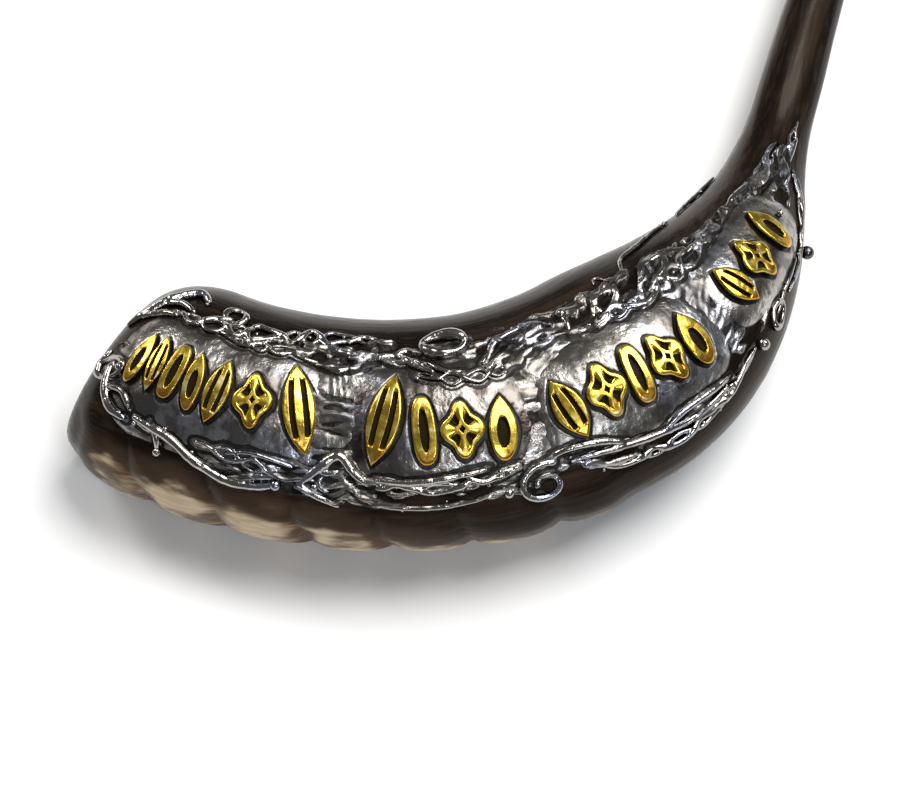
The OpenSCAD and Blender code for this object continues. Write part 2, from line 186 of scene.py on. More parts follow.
@dataclass
class HornForm:
    """Spine and section of the horn, in millimetres and degrees, as in the CAD part."""

    bell_heading: float = -35.0
    arcs: tuple[tuple[float, float], ...] = ((100.0, 42.0), (80.0, 45.0), (50.0, 22.0))
    neck_len: float = 105.0
    neck_rise: float = 8.0
    rim_w: float = 44.0
    belly_w: float = 66.0
    flank_w: float = 68.0
    neck_w: float = 19.0
    throat_w: float = 17.0
    mouth_w: float = 20.0
    round_len: float = 26.0
    belly_flat: float = 0.72
    neck_flat: float = 0.9
    egg: float = 0.14
    taper_from: float = 145.0
    taper_to: float = 262.0
    rise_to: float = 300.0
    flank_at: float = 130.0
    wall: float = 5.0
    bore_r: float = 4.5
    bore_from: float = 165.0
    cup_depth: float = 8.0
    cup_r: float = 7.5
    ridge_h: float = 1.5
    ridge_from: float = 6.0
    ridge_pitch: float = 19.0
    ridge_count: int = 7
    origin: np.ndarray = field(default_factory=lambda: np.zeros(2))

    def __post_init__(self) -> None:
        """Integrate the spine and put the horn where the CAD part is."""
        self.arc_end = sum(length for length, _ in self.arcs)
        self.length = self.arc_end + self.neck_len
        steps = np.arange(0.0, self.length)
        turn = np.radians(self.heading(steps + 0.5))
        self._s = np.arange(0.0, self.length + 1.0)
        self._x = np.concatenate([[0.0], np.cumsum(np.cos(turn))])
        self._y = np.concatenate([[0.0], np.cumsum(np.sin(turn))])
        ring = np.radians(np.arange(0.0, 360.0, 9.0))
        self._lowest = float(np.max(-np.sin(ring) * (1 - self.egg * np.cos(ring))))

    def heading(self, s: np.ndarray) -> np.ndarray:
        """Return the spine's heading in plan, in degrees.

        Args:
            s: Distance along the spine.

        Returns:
            Headings in degrees.
        """
        total = np.full_like(np.asarray(s, float), self.bell_heading)
        start = 0.0
        for length, turn in self.arcs:
            total = total + turn * clamp01((s - start) / length)
            start += length
        return total

    def taper(self, s: np.ndarray) -> np.ndarray:
        """Return 0 in the belly and 1 in the neck."""
        return smooth((s - self.taper_from) / (self.taper_to - self.taper_from))

    def half_width(self, s: np.ndarray) -> np.ndarray:
        """Return the section's half width.

        Args:
            s: Distance along the spine.

        Returns:
            Half widths in millimetres.
        """
        full = self.belly_w + (self.flank_w - self.belly_w) * smooth(s / self.flank_at)
        u = clamp01(1 - s / self.round_len)
        body = full - (full - self.rim_w) * (1 - np.sqrt(np.maximum(1 - u * u, 0)))
        t = clamp01((s - self.taper_to) / (self.length - self.taper_to))
        neck = self.neck_w + (self.throat_w - self.neck_w) * smooth(t / 0.7)
        neck = neck + (self.mouth_w - self.throat_w) * smooth((t - 0.75) / 0.25)
        k = self.taper(s)
        return (body * (1 - k) + neck * k) / 2

    def flatness(self, s: np.ndarray) -> np.ndarray:
        """Return the section's thickness as a share of its width."""
        return self.belly_flat + (self.neck_flat - self.belly_flat) * self.taper(s)

    def spine_height(self, s: np.ndarray) -> np.ndarray:
        """Return the height of the section's centre over the ground."""
        rise = smooth((s - self.taper_from) / (self.rise_to - self.taper_from))
        return self.half_width(s) * self.flatness(s) * self._lowest + self.neck_rise * rise

    def degrees_per_mm(self, s: np.ndarray) -> np.ndarray:
        """Return the angle round the section that one millimetre covers."""
        return 360.0 / (math.pi * self.half_width(s) * (1 + self.flatness(s)))

    def section(self, s: np.ndarray, t: np.ndarray, a: np.ndarray, b: np.ndarray,
                lift: np.ndarray) -> np.ndarray:
        """Return points of sections with half axes a and b, pushed out by lift.

        Args:
            s: Distance along the spine.
            t: Angle round the section.
            a: Half width.
            b: Half thickness.
            lift: Height over the section.

        Returns:
            Points in millimetres, shape (..., 3).
        """
        c, d = np.cos(np.radians(t)), np.sin(np.radians(t))
        size = np.hypot(c / a, d / b)
        out = a * c + lift * c / a / size
        up = b * d * (1 - self.egg * c) + lift * d / b / size
        h = np.radians(self.heading(s))
        x = np.interp(s, self._s, self._x) + out * np.sin(h)
        y = np.interp(s, self._s, self._y) - out * np.cos(h)
        return np.stack([x - self.origin[0], y - self.origin[1], self.spine_height(s) + up], -1)

    def point(self, s: np.ndarray, t: np.ndarray, lift: np.ndarray | float = 0.0) -> np.ndarray:
        """Return points on the horn's smooth outside, pushed out by lift.

        Args:
            s: Distance along the spine.
            t: Angle round the section.
            lift: Height over the outside in millimetres.

        Returns:
            Points in millimetres, shape (..., 3).
        """
        s, t = np.broadcast_arrays(np.asarray(s, float), np.asarray(t, float))
        a = self.half_width(s)
        return self.section(s, t, a, a * self.flatness(s), np.asarray(lift, float))

    def spine_point(self, s: np.ndarray) -> np.ndarray:
        """Return points of the spine at the height of the section's centre."""
        x, y = np.interp(s, self._s, self._x), np.interp(s, self._s, self._y)
        return np.stack([x - self.origin[0], y - self.origin[1], self.spine_height(s)], -1)

    def outward(self, points: np.ndarray) -> np.ndarray:
        """Return the directions from the spine to the points, as unit vectors.

        Args:
            points: Places in millimetres, shape (n, 3).

        Returns:
            Unit vectors, shape (n, 3).
        """
        spine = self.spine_point(np.arange(0.0, self.length, 2.0))
        away = points[:, None] - spine[None]
        nearest = np.argmin(np.sum(away**2, axis=2), axis=1)
        away = away[np.arange(len(points)), nearest]
        return away / np.linalg.norm(away, axis=1, keepdims=True)

    def hollow(self, s: np.ndarray, t: np.ndarray, flare: np.ndarray) -> np.ndarray:
        """Return points of the hollow's wall, which narrows to the bore at the neck.

        Args:
            s: Distance along the spine.
            t: Angle round the section.
            flare: How much wider the hollow is, for its rounded rim.

        Returns:
            Points in millimetres, shape (..., 3).
        """
        k = smooth((s - self.bore_from) / (self.arc_end - self.bore_from))
        a = self.half_width(s)
        inner_a = (a - self.wall) * (1 - k) + self.bore_r * k + flare
        inner_b = (a * self.flatness(s) - self.wall) * (1 - k) + self.bore_r * k + flare
        return self.section(s, t, inner_a, inner_b, np.zeros_like(s))

    def place(self, low: Vector, high: Vector) -> None:
        """Move the form so that its plan box is centred on the CAD part's box.

        Args:
            low: Lowest corner of the CAD part's box in metres.
            high: Its highest corner.
        """
        s = np.arange(0.0, self.length + 1.0)
        f = clamp01((s - self.ridge_from) / self.ridge_pitch / self.ridge_count) * self.ridge_count
        ridge = self.ridge_h * np.sin(math.pi * f) ** 2
        outer, inner = np.zeros_like(s), np.full_like(s, 180.0)
        sides = np.concatenate([self.point(s, outer, ridge), self.point(s, inner)])
        middle = (sides.min(0) + sides.max(0)) / 2
        self.origin = self.origin + middle[:2] - np.array([low[0] + high[0], low[1] + high[1]]) / 2 / MM


# ---------------------------------------------------------------- the relief's places


@dataclass(frozen=True)
class FieldPlace:
    """Place of one domed silver field: its middle, half length and half width."""

    along: float
    angle: float
    half_length: float
    half_width: float


@dataclass(frozen=True)
class OrnamentPlace:
    """Place and outline of one gold ornament."""

    name: str
    outline: Outline
    along: float
    angle: float
    across_len: float
    width: float
    lean: float


@dataclass(frozen=True)
class StrandPlace:
    """One vine piece: the strand that gives its name and the finer ones that grow from it."""

    name: str
    width: float
    route: tuple[tuple[float, float], ...]
    offshoots: tuple[tuple[tuple[float, float], ...], ...] = ()
    sway: float = 0.0


@dataclass(frozen=True)
class LoopPlace:
    """One closed vine loop: its middle, half sizes and lean."""

    name: str
    width: float
    along: float
    angle: float
    half_length: float
    half_height: float
    lean: float


# Gold ornaments: outline, distance along the spine, angle, length across the horn, width and lean
ORNAMENTS: tuple[tuple[Outline, float, float, float, float, float], ...] = (
    (Outline.BUD, 14.5, 80, 13, 4.8, -6),
    (Outline.LEAF, 19.8, 80, 13.5, 4.8, 4),
    (Outline.PETAL, 25.3, 79, 13, 5.2, -4),
    (Outline.BUD, 31.2, 78, 13.5, 5, 6),
    (Outline.LEAF, 38, 77, 15, 6.6, -5),
    (Outline.FLOWER, 47.6, 77, 12.5, 10.5, 10),
    (Outline.LEAF, 59.8, 78, 22, 8.5, 18),
    (Outline.LEAF, 82, 76, 22, 8.5, -16),
    (Outline.PETAL, 92, 70, 15.5, 6, 4),
    (Outline.FLOWER, 101.5, 69, 13, 11, 0),
    (Outline.BUD, 111.3, 67, 15, 7, -8),
    (Outline.LEAF, 128, 67, 15.5, 7.5, 14),
    (Outline.FLOWER, 138.2, 68, 13, 10.5, 0),
    (Outline.PETAL, 147, 68, 14, 5.6, -6),
    (Outline.FLOWER, 155.8, 67, 13, 10, 12),
    (Outline.BUD, 165.3, 66, 14, 7, -6),
    (Outline.LEAF, 185.5, 68, 13, 7, 12),
    (Outline.FLOWER, 196.5, 67, 12, 10.5, 0),
    (Outline.BUD, 208.5, 67, 13, 7, -8),
)


def named_ornaments(rows: tuple[tuple[Outline, float, float, float, float, float], ...],
                    ) -> tuple[OrnamentPlace, ...]:
    """Name each ornament after its outline and its turn among that outline.

    Args:
        rows: Outline, distance along, angle, length, width and lean of each ornament.

    Returns:
        The ornaments, in the order of the rows.
    """
    outlines = [row[0] for row in rows]
    return tuple(OrnamentPlace(f"gold_{row[0].value}_{outlines[:i + 1].count(row[0])}", *row)
                 for i, row in enumerate(rows))


@dataclass
class ReliefPlan:
    """Heights and places of everything that lies on the horn, as in the CAD part."""

    form: HornForm
    dome_h: float = 3.2
    gold_h: float = 1.9
    ground_h: float = 0.4
    tree: KDTree | None = None
    fields: tuple[FieldPlace, ...] = (
        FieldPlace(36, 78, 30, 18.5),
        FieldPlace(96, 74, 23.5, 17.5),
        FieldPlace(147, 67, 27.5, 16),
        FieldPlace(199, 66, 22.5, 12),
    )
    ornaments: tuple[OrnamentPlace, ...] = field(default_factory=lambda: named_ornaments(ORNAMENTS))

    def field_share(self, place: FieldPlace, s: np.ndarray, t: np.ndarray) -> np.ndarray:
        """Return 0 in the middle of a field and 1 on its rounded oblong edge.

        Args:
            place: The field.
            s: Distance along the spine.
            t: Angle round the section.

        Returns:
            Shares, over 1 outside the field.
        """
        u = np.abs((s - place.along) / place.half_length)
        v = np.abs((t - place.angle) / (place.half_width * self.form.degrees_per_mm(s)))
        return (u**3 + v**3) ** (1 / 3)

    @staticmethod
    def crown(r: np.ndarray) -> np.ndarray:
        """Return a dome's height over its share of the way to the edge, from 1 to 0."""
        return np.maximum(1 - r * r, 0) ** 0.66

    def dome(self, s: np.ndarray, t: np.ndarray) -> np.ndarray:
        """Return the height of the domed fields over the horn.

        Args:
            s: Distance along the spine.
            t: Angle round the section.

        Returns:
            Heights in millimetres.
        """
        best = np.zeros(np.broadcast(s, t).shape)
        for place in self.fields:
            r = self.field_share(place, s, t)
            best = np.maximum(best, self.dome_h * self.crown(r))
        return best

    def outline_radius(self, place: OrnamentPlace, a: np.ndarray) -> np.ndarray:
        """Return an ornament's outline as a share of its half sizes.

        Args:
            place: The ornament.
            a: Direction in radians, 0 towards the tip on the inner curve.

        Returns:
            Shares, 1 where the outline reaches its full half size.
        """
        c, d = np.abs(np.cos(a)), np.abs(np.sin(a))
        lens = np.where(c < 0.05, 1.0, (np.sqrt(d**2 + 4 * c**2) - d) / (2 * np.maximum(c, 0.05) ** 2))
        if place.outline is Outline.LEAF:
            return lens
        if place.outline is Outline.BUD:
            return np.where(np.cos(a) > 0, lens, 1.0)
        if place.outline is Outline.FLOWER:
            return 0.86 + 0.14 * np.cos(4 * a)
        return (c**2.6 + d**2.6) ** (-1 / 2.6)

    def ornament_gap(self, s: np.ndarray, t: np.ndarray) -> np.ndarray:
        """Return the rough distance in millimetres to the nearest ornament, 0 under one.

        Args:
            s: Distance along the spine.
            t: Angle round the section.

        Returns:
            Distances in millimetres.
        """
        best = np.full(np.broadcast(s, t).shape, 99.0)
        for place in self.ornaments:
            x = s - place.along
            y = (t - place.angle) / self.form.degrees_per_mm(np.asarray(place.along))
            lean = math.radians(place.lean)
            along = x * math.cos(lean) + y * math.sin(lean)
            across = -x * math.sin(lean) + y * math.cos(lean)
            half_w, half_l = place.width / 2, place.across_len / 2
            a = np.arctan2(-along / half_w, across / half_l)
            edge = self.outline_radius(place, a)
            size = np.hypot(along / half_w, across / half_l)
            over = size / edge
            best = np.minimum(best, np.maximum(over - 1, 0) * np.hypot(along, across) / np.maximum(over, 1))
        return best

    def follow_strands(self, middles: np.ndarray) -> None:
        """Remember the strands' middle points, in millimetres, so that the silver can meet them.

        Args:
            middles: Places in millimetres, shape (n, 3).
        """
        self.tree = KDTree(len(middles))
        for i, middle in enumerate(middles):
            self.tree.insert(middle, i)
        self.tree.balance()

    def strand_gap(self, s: np.ndarray, t: np.ndarray) -> np.ndarray:
        """Return the distance in millimetres from the relief to the nearest strand's middle."""
        places = self.form.point(s, t, self.dome(s, t)).reshape(-1, 3)
        return np.array([self.tree.find(place)[2] for place in places]).reshape(s.shape)

    @staticmethod
    def foot_black_and_shadow(gap: np.ndarray, beaten: np.ndarray) -> np.ndarray:
        """Return the black along the foot of a strand, patchy with the hammering: partly patina in the
        angle, partly a painted shadow of the strand.
        """
        return smooth((gap - 0.9) / 0.35) * smooth((2.3 + 0.9 * beaten - gap) / 0.7)


STRANDS: tuple[StrandPlace, ...] = (
    StrandPlace("vine_branch", THICK, ((3, 98), (7, 110), (12, 122), (18, 130), (23, 124)),
                (((9, 116), (15, 118), (21, 114)), ((5, 104), (11, 108), (17, 108)))),
    StrandPlace("vine_long_strand", THICK,
                ((14, 112), (24, 108), (36, 111), (48, 115), (60, 119), (72, 121), (84, 118)),
                (((24, 108), (30, 116), (33, 118)), ((60, 119), (66, 112), (74, 109))), 1.3),
    StrandPlace("vine_under_strand", THIN, ((30, 107), (39, 104), (49, 105), (58, 109), (66, 115)),
                (((39, 104), (43, 109), (50, 113)), ((52, 106), (60, 103), (68, 105))), 0.8),
    StrandPlace("vine_arc_left", THICK, ((72, 107), (82, 108), (90, 104), (96, 97)),
                (((62, 103), (68, 100), (74, 103)), ((83, 108), (88, 112), (93, 111))), 0.9),
    StrandPlace("vine_arc_right", THIN, ((91, 97), (100, 93), (110, 93), (121, 97)),
                (((94, 104), (98, 98), (104, 96)),), 1.0),
    StrandPlace("vine_leaf_top", THIN, ((110, 99), (116, 110), (124, 114), (133, 112), (138, 104)),
                (((118, 111), (126, 108), (134, 106)),)),
    StrandPlace("vine_leaf_rib", THIN, ((112, 97), (120, 101), (129, 104), (138, 103)),
                (((116, 99), (122, 106), (130, 110)),), 0.8),
    StrandPlace("vine_chain", THICK,
                ((138, 101), (148, 100), (160, 97), (172, 98), (184, 99), (196, 102), (208, 104)),
                (((138, 101), (139, 108), (138, 112)), ((146, 100), (149, 107), (152, 112), (157, 110)),
                 ((163, 98), (166, 104), (172, 112), (180, 112), (186, 104)),
                 ((208, 104), (216, 104), (224, 98))), 1.1),
    StrandPlace("tendril_low", FINE,
                ((159, 120), (161, 114), (165, 113), (167, 121), (171, 128), (180, 132), (190, 138),
                 (198, 141)),
                (((159, 120), (157, 124), (155, 120)),)),
    StrandPlace("tendril_high", FINE, ((203, 144), (211, 152), (220, 156), (228, 158))),
    StrandPlace("neck_vine", THIN, ((222, 92), (230, 84), (238, 72), (246, 62), (254, 58)),
                (((224, 74), (232, 66), (240, 58), (248, 52)), ((230, 84), (236, 92), (242, 88))), 0.8),
    StrandPlace("bell_strand", THICK, ((7, 72), (9, 60), (13, 52), (18, 50)),
                (((4, 80), (3, 70), (5, 62)), ((9, 60), (14, 62), (18, 56)))),
    StrandPlace("lower_drop", THIN, ((24, 54), (27, 48), (28, 40)), (((20, 53), (24, 50), (28, 51)),)),
    StrandPlace("lower_strand", THICK, ((20, 53), (30, 50), (37, 43), (45, 37), (52, 37), (57, 40)),
                (((45, 37), (51, 42), (58, 45)),)),
    StrandPlace("lower_lens", THIN, ((36, 52), (44, 51), (52, 48), (60, 46), (66, 48)),
                (((44, 51), (50, 54), (58, 52), (64, 49)),), 0.9),
    StrandPlace("lower_twig", THICK, ((62, 42), (66, 51), (71, 59), (75, 51), (78, 46)),
                (((60, 46), (64, 40), (68, 36), (72, 32)), ((66, 51), (69, 50), (72, 52)))),
    StrandPlace("lower_strand_upper", THICK, ((76, 48), (84, 43), (94, 43), (104, 44), (113, 48)),
                (((80, 48), (88, 47), (96, 48), (106, 50)),), 0.8),
    StrandPlace("lower_strand_outer", THIN, ((66, 38), (73, 45), (80, 35), (90, 32), (100, 33), (109, 37)),
                (((109, 37), (112, 34), (114, 31)),)),
    StrandPlace("lower_right_strand", THICK,
                ((125, 44), (132, 34), (141, 29), (150, 27), (160, 27), (170, 31), (178, 34)),
                (((126, 44), (136, 41), (146, 37), (156, 33), (166, 33)),
                 ((146, 37), (152, 41), (160, 40), (168, 36)),
                 ((118, 46), (124, 50), (132, 48), (138, 42))), 0.7),
    StrandPlace("neck_edge_strand", THIN, ((198, 26), (208, 22), (218, 26), (228, 38), (236, 52)),
                (((190, 30), (198, 34), (208, 32)), ((218, 26), (226, 30), (234, 42))), 0.6),
)

LOOPS: tuple[LoopPlace, ...] = (
    LoopPlace("bell_loop", THIN, 7, 70, 4, 2.6, 20),
    LoopPlace("vine_coil", THIN, 33, 121, 3.4, 2.6, 0),
    LoopPlace("vine_ring", THICK, 100, 115, 6.7, 3.2, 0),
    LoopPlace("vine_bow", THIN, 154, 108, 5, 2.6, 25),
    LoopPlace("vine_lens", THIN, 174, 108, 6, 2.4, 15),
    LoopPlace("twig_loop", THIN, 70, 45, 3, 2.4, 0),
    LoopPlace("knob_cluster", THIN, 190, 30, 3.4, 2.4, 30),
)

# Silver beads: distance along the spine, angle and diameter
BEADS: tuple[tuple[float, float, float], ...] = (
    (10, 72, 2.4), (16, 51, 2.2), (28, 40, 2.6), (57, 40, 3.2), (66, 42, 2.4), (110, 35, 3.0),
    (139, 112, 3.4), (160, 98, 2.2), (180, 31, 3.6), (216, 62, 2.2),
)
SIDE_BEAD: tuple[float, float, float] = (214, 8, 4.0)


# ---------------------------------------------------------------- meshes


def build_mesh(name: str, points: np.ndarray, faces: list[tuple[int, ...]] | np.ndarray,
               shades: dict[str, np.ndarray] | None = None) -> bpy.types.Object:
    """Make a smooth-shaded object from points in millimetres.

    Args:
        name: Name of the piece.
        points: Places in millimetres, shape (n, 3).
        faces: Corners of each face, counter-clockwise from outside.
        shades: A value or vector for each point, stored as attributes for the finish.

    Returns:
        The object, at the origin, linked to the scene.
    """
    mesh = bpy.data.meshes.new(name)
    mesh.from_pydata((np.asarray(points) * MM).tolist(), [], [tuple(f) for f in faces])
    for shade_name, values in (shades or {}).items():
        if values.ndim == 1:
            layer = mesh.attributes.new(shade_name, "FLOAT", "POINT")
            layer.data.foreach_set("value", np.ascontiguousarray(values, dtype=np.float32))
        else:
            layer = mesh.attributes.new(shade_name, "FLOAT_VECTOR", "POINT")
            layer.data.foreach_set("vector", np.ascontiguousarray(values, dtype=np.float32).ravel())
    mesh.polygons.foreach_set("use_smooth", [True] * len(mesh.polygons))
    mesh.update()
    piece = bpy.data.objects.new(name, mesh)
    bpy.context.scene.collection.objects.link(piece)
    return piece


def ring_faces(rings: int, sides: int, wrap: bool = False) -> np.ndarray:
    """Return quads that join rings of points in order.

    Args:
        rings: Number of rings.
        sides: Points in each ring.
        wrap: Whether the last ring joins the first.

    Returns:
        Face corners, shape (n, 4).
    """
    i, j = np.meshgrid(np.arange(rings if wrap else rings - 1), np.arange(sides), indexing="ij")
    i, j = i.ravel(), j.ravel()
    n, k = (i + 1) % rings, (j + 1) % sides
    return np.stack([i * sides + j, n * sides + j, n * sides + k, i * sides + k], -1)


def tube_mesh(name: str, rings: np.ndarray, shades: dict[str, np.ndarray],
              wrap: bool = False) -> bpy.types.Object:
    """Make a closed object from rings of points, with a fan over each open end.

    Args:
        name: Name of the piece.
        rings: Places in millimetres, shape (rings, sides, 3).
        shades: Values or vectors of shape (rings, sides) or (rings, sides, 3).
        wrap: Whether the last ring joins the first, which leaves no ends.

    Returns:
        The object, with its faces outwards.
    """
    count, sides = rings.shape[:2]
    points = rings.reshape(-1, 3)
    flat = {key: v.reshape(-1, *v.shape[2:]) for key, v in shades.items()}
    faces = [tuple(f) for f in ring_faces(count, sides, wrap).tolist()]
    if not wrap:
        first, last = len(points), len(points) + 1
        points = np.concatenate([points, rings[0].mean(0)[None], rings[-1].mean(0)[None]])
        flat = {key: np.concatenate([v, v[:1], v[-1:]]) for key, v in flat.items()}
        end = (count - 1) * sides
        for j in range(sides):
            k = (j + 1) % sides
            faces += [(first, j, k), (last, end + k, end + j)]
    piece = build_mesh(name, points, faces, flat)
    point_outwards(piece)
    return piece


def point_outwards(piece: bpy.types.Object) -> None:
    """Turn a closed piece's faces outwards if its signed volume is negative.

    Args:
        piece: A closed piece.
    """
    mesh = piece.data
    mesh.calc_loop_triangles()
    corners = np.array([t.vertices[:] for t in mesh.loop_triangles])
    places = np.empty(len(mesh.vertices) * 3)
    mesh.vertices.foreach_get("co", places)
    a, b, c = (places.reshape(-1, 3)[corners[:, k]] for k in range(3))
    if float(np.einsum("ij,ij->i", a, np.cross(b, c)).sum()) < 0:
        mesh.flip_normals()


def dress(piece: bpy.types.Object, material: bpy.types.Material, slot: Slot, *nodes: str) -> None:
    """Give a piece its material and say which CAD nodes it stands for.

    Args:
        piece: The piece.
        material: Its finish.
        slot: Not used.
        nodes: CAD nodes that the piece stands for.
    """
    piece.data.materials.clear()
    piece.data.materials.append(material)
    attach(piece, BODY)
    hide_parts(*nodes)
    log.info("%s: %d faces, stands for %s", piece.name, len(piece.data.polygons), ", ".join(nodes))


def curve_through(stations: np.ndarray, per_span: int) -> np.ndarray:
    """Return points on a smooth curve through stations.

    Args:
        stations: Places the curve passes, shape (n, 2).
        per_span: Points between two stations.

    Returns:
        Points, shape (m, 2).
    """
    before, after = 2 * stations[0] - stations[1], 2 * stations[-1] - stations[-2]
    line = np.concatenate([before[None], stations, after[None]])
    points = []
    for a, b, c, d in zip(line, line[1:], line[2:], line[3:]):
        for f in np.arange(per_span) / per_span:
            points.append(0.5 * (2 * b + (c - a) * f + (2 * a - 5 * b + 4 * c - d) * f**2
                                 + (3 * b - a - 3 * c + d) * f**3))
    points.append(stations[-1])
    return np.array(points)


# ---------------------------------------------------------------- geometry node trees


class GrowthTree:
    """Geometry Nodes tree that grows a mesh from points that know how thick it is there."""

    def __init__(self, name: str, taken: str, given: str, dials: dict[str, str]) -> None:
        """Start a tree.

        Args:
            name: Name of the tree.
            taken: Name of its geometry input.
            given: Name of its geometry output.
            dials: Names of its other inputs, each with its socket type.
        """
        self.tree = bpy.data.node_groups.new(name, "GeometryNodeTree")
        face = self.tree.interface
        face.new_socket(taken, in_out="INPUT", socket_type="NodeSocketGeometry")
        self.dials = [face.new_socket(dial, in_out="INPUT", socket_type=kind).identifier
                      for dial, kind in dials.items()]
        face.new_socket(given, in_out="OUTPUT", socket_type="NodeSocketGeometry")
        self.start, self.end = self.node("NodeGroupInput"), self.node("NodeGroupOutput")

    def node(self, kind: str, **values: float | bool) -> bpy.types.Node:
        """Add a node and set its named inputs, with underscores for spaces.

        Args:
            kind: Blender's name of the node type.
            values: Values of its inputs.

        Returns:
            The node.
        """
        node = self.tree.nodes.new(kind)
        for key, value in values.items():
            node.inputs[key.replace("_", " ")].default_value = value
        return node

    def sum_node(self, operation: str) -> bpy.types.Node:
        """Add a math node that works on 1 and what is joined to its second input.

        Args:
            operation: Name of the operation.

        Returns:
            The node.
        """
        node = self.tree.nodes.new("ShaderNodeMath")
        node.operation = operation
        node.inputs[0].default_value = 1.0
        return node

    def thickness(self) -> bpy.types.NodeSocket:
        """Read how thick the mesh is at each point.

        Returns:
            The thickness as a node's output.
        """
        node = self.tree.nodes.new("GeometryNodeInputNamedAttribute")
        node.data_type = "FLOAT"
        node.inputs["Name"].default_value = "thick"
        return node.outputs["Attribute"]

    def join(self, *wires: tuple[bpy.types.NodeSocket, bpy.types.NodeSocket]) -> None:
        """Join outputs to inputs."""
        for source, target in wires:
            self.tree.links.new(source, target)

    def close(self, mesh: bpy.types.NodeSocket, material: bpy.types.Material, even: bool) -> None:
        """Realize the mesh, shade it smooth where asked, paint it and give it out.

        Args:
            mesh: The grown mesh.
            material: Finish that it gets.
            even: Whether to shade it smooth.
        """
        real = self.node("GeometryNodeRealizeInstances")
        self.join((mesh, real.inputs["Geometry"]))
        result = real.outputs["Geometry"]
        if even:
            soft = self.node("GeometryNodeSetShadeSmooth")
            self.join((result, soft.inputs["Geometry"]))
            result = soft.outputs["Geometry"]
        paint = self.node("GeometryNodeSetMaterial")
        paint.inputs["Material"].default_value = material
        self.join((result, paint.inputs["Geometry"]), (paint.outputs["Geometry"], self.end.inputs[0]))

    def grow(self, name: str, points: np.ndarray, radii: np.ndarray, edges: list[tuple[int, int]],
             settings: tuple[float, ...], fuse: float = 0.0) -> bpy.types.Object:
        """Grow a piece from points.

        Args:
            name: Name of the piece.
            points: Places in millimetres.
            radii: Thickness at each place in millimetres, halved.
            edges: Pairs of points that are joined.
            settings: A value for each dial of the tree.
            fuse: Voxel in millimetres that fuses the mesh into one skin, or 0 to leave it.

        Returns:
            The piece, with its modifiers applied.
        """
        mesh = bpy.data.meshes.new(name + "_points")
        mesh.from_pydata((points * MM).tolist(), edges, [])
        layer = mesh.attributes.new("thick", "FLOAT", "POINT")
        layer.data.foreach_set("value", (radii * MM).astype(np.float32))
        piece = bpy.data.objects.new(name, mesh)
        bpy.context.scene.collection.objects.link(piece)
        growth = piece.modifiers.new("grow", "NODES")
        growth.node_group = self.tree
        for dial, value in zip(self.dials, settings):
            growth[dial] = value
        if fuse > 0:
            skin = piece.modifiers.new("fuse", "REMESH")
            skin.mode, skin.voxel_size, skin.use_smooth_shade = "VOXEL", fuse * MM, True
            settle = piece.modifiers.new("settle", "SMOOTH")
            settle.factor, settle.iterations = 0.5, 5
        baked = bpy.data.meshes.new_from_object(piece.evaluated_get(bpy.context.evaluated_depsgraph_get()))
        piece.modifiers.clear()
        piece.data = baked
        return piece


class StrandTree(GrowthTree):
    """Tree that turns routes into round strands of varying thickness."""

    voxel = 0.24
    sides = 10
    knots_per_metre = 260.0

    def __init__(self, material: bpy.types.Material) -> None:
        """Build the tree: routes, their thickness, a round section, realized, with a material.

        Args:
            material: Finish of what the tree grows.
        """
        dials = {"Section Sides": "NodeSocketInt", "Knot Share": "NodeSocketFloat",
                 "Knot Scale": "NodeSocketFloat"}
        super().__init__("strand_tree", "Routes", "Strands", dials)
        curve = self.node("GeometryNodeMeshToCurve")
        circle = self.node("GeometryNodeCurvePrimitiveCircle", Radius=1.0)
        sweep = self.node("GeometryNodeCurveToMesh", Fill_Caps=True)
        noise = self.node("ShaderNodeTexNoise")
        spread = self.node("ShaderNodeMapRange", From_Min=0.3, From_Max=0.7)
        scale, less, more = self.sum_node("MULTIPLY"), self.sum_node("SUBTRACT"), self.sum_node("ADD")
        given = self.start.outputs
        self.join((given["Routes"], curve.inputs["Mesh"]),
                  (given["Section Sides"], circle.inputs["Resolution"]),
                  (given["Knot Scale"], noise.inputs["Scale"]),
                  (given["Knot Share"], less.inputs[1]),
                  (given["Knot Share"], more.inputs[1]),
                  (noise.outputs["Fac"], spread.inputs["Value"]),
                  (less.outputs[0], spread.inputs["To Min"]),
                  (more.outputs[0], spread.inputs["To Max"]),
                  (self.thickness(), scale.inputs[0]),
                  (spread.outputs["Result"], scale.inputs[1]),
                  (curve.outputs["Curve"], sweep.inputs["Curve"]),
                  (circle.outputs["Curve"], sweep.inputs["Profile Curve"]),
                  (scale.outputs[0], sweep.inputs["Scale"]))
        self.close(sweep.outputs["Mesh"], material, False)

    def sweep(self, name: str, routes: list[Route], knot: float) -> bpy.types.Object:
        """Sweep strands along routes and fuse them into one closed mesh.

        Args:
            name: Name of the piece.
            routes: Points and radii in millimetres, and whether the route is closed.
            knot: How much the thickness swells and thins, as a share.

        Returns:
            The fused piece.
        """
        edges, at = [], 0
        for places, _, closed in routes:
            last = at + len(places) - 1
            edges += [(i, i + 1) for i in range(at, last)] + ([(last, at)] if closed else [])
            at = last + 1
        points, radii = (np.concatenate([route[k] for route in routes]) for k in (0, 1))
        return self.grow(name, points, radii, edges, (self.sides, knot, self.knots_per_metre), self.voxel)


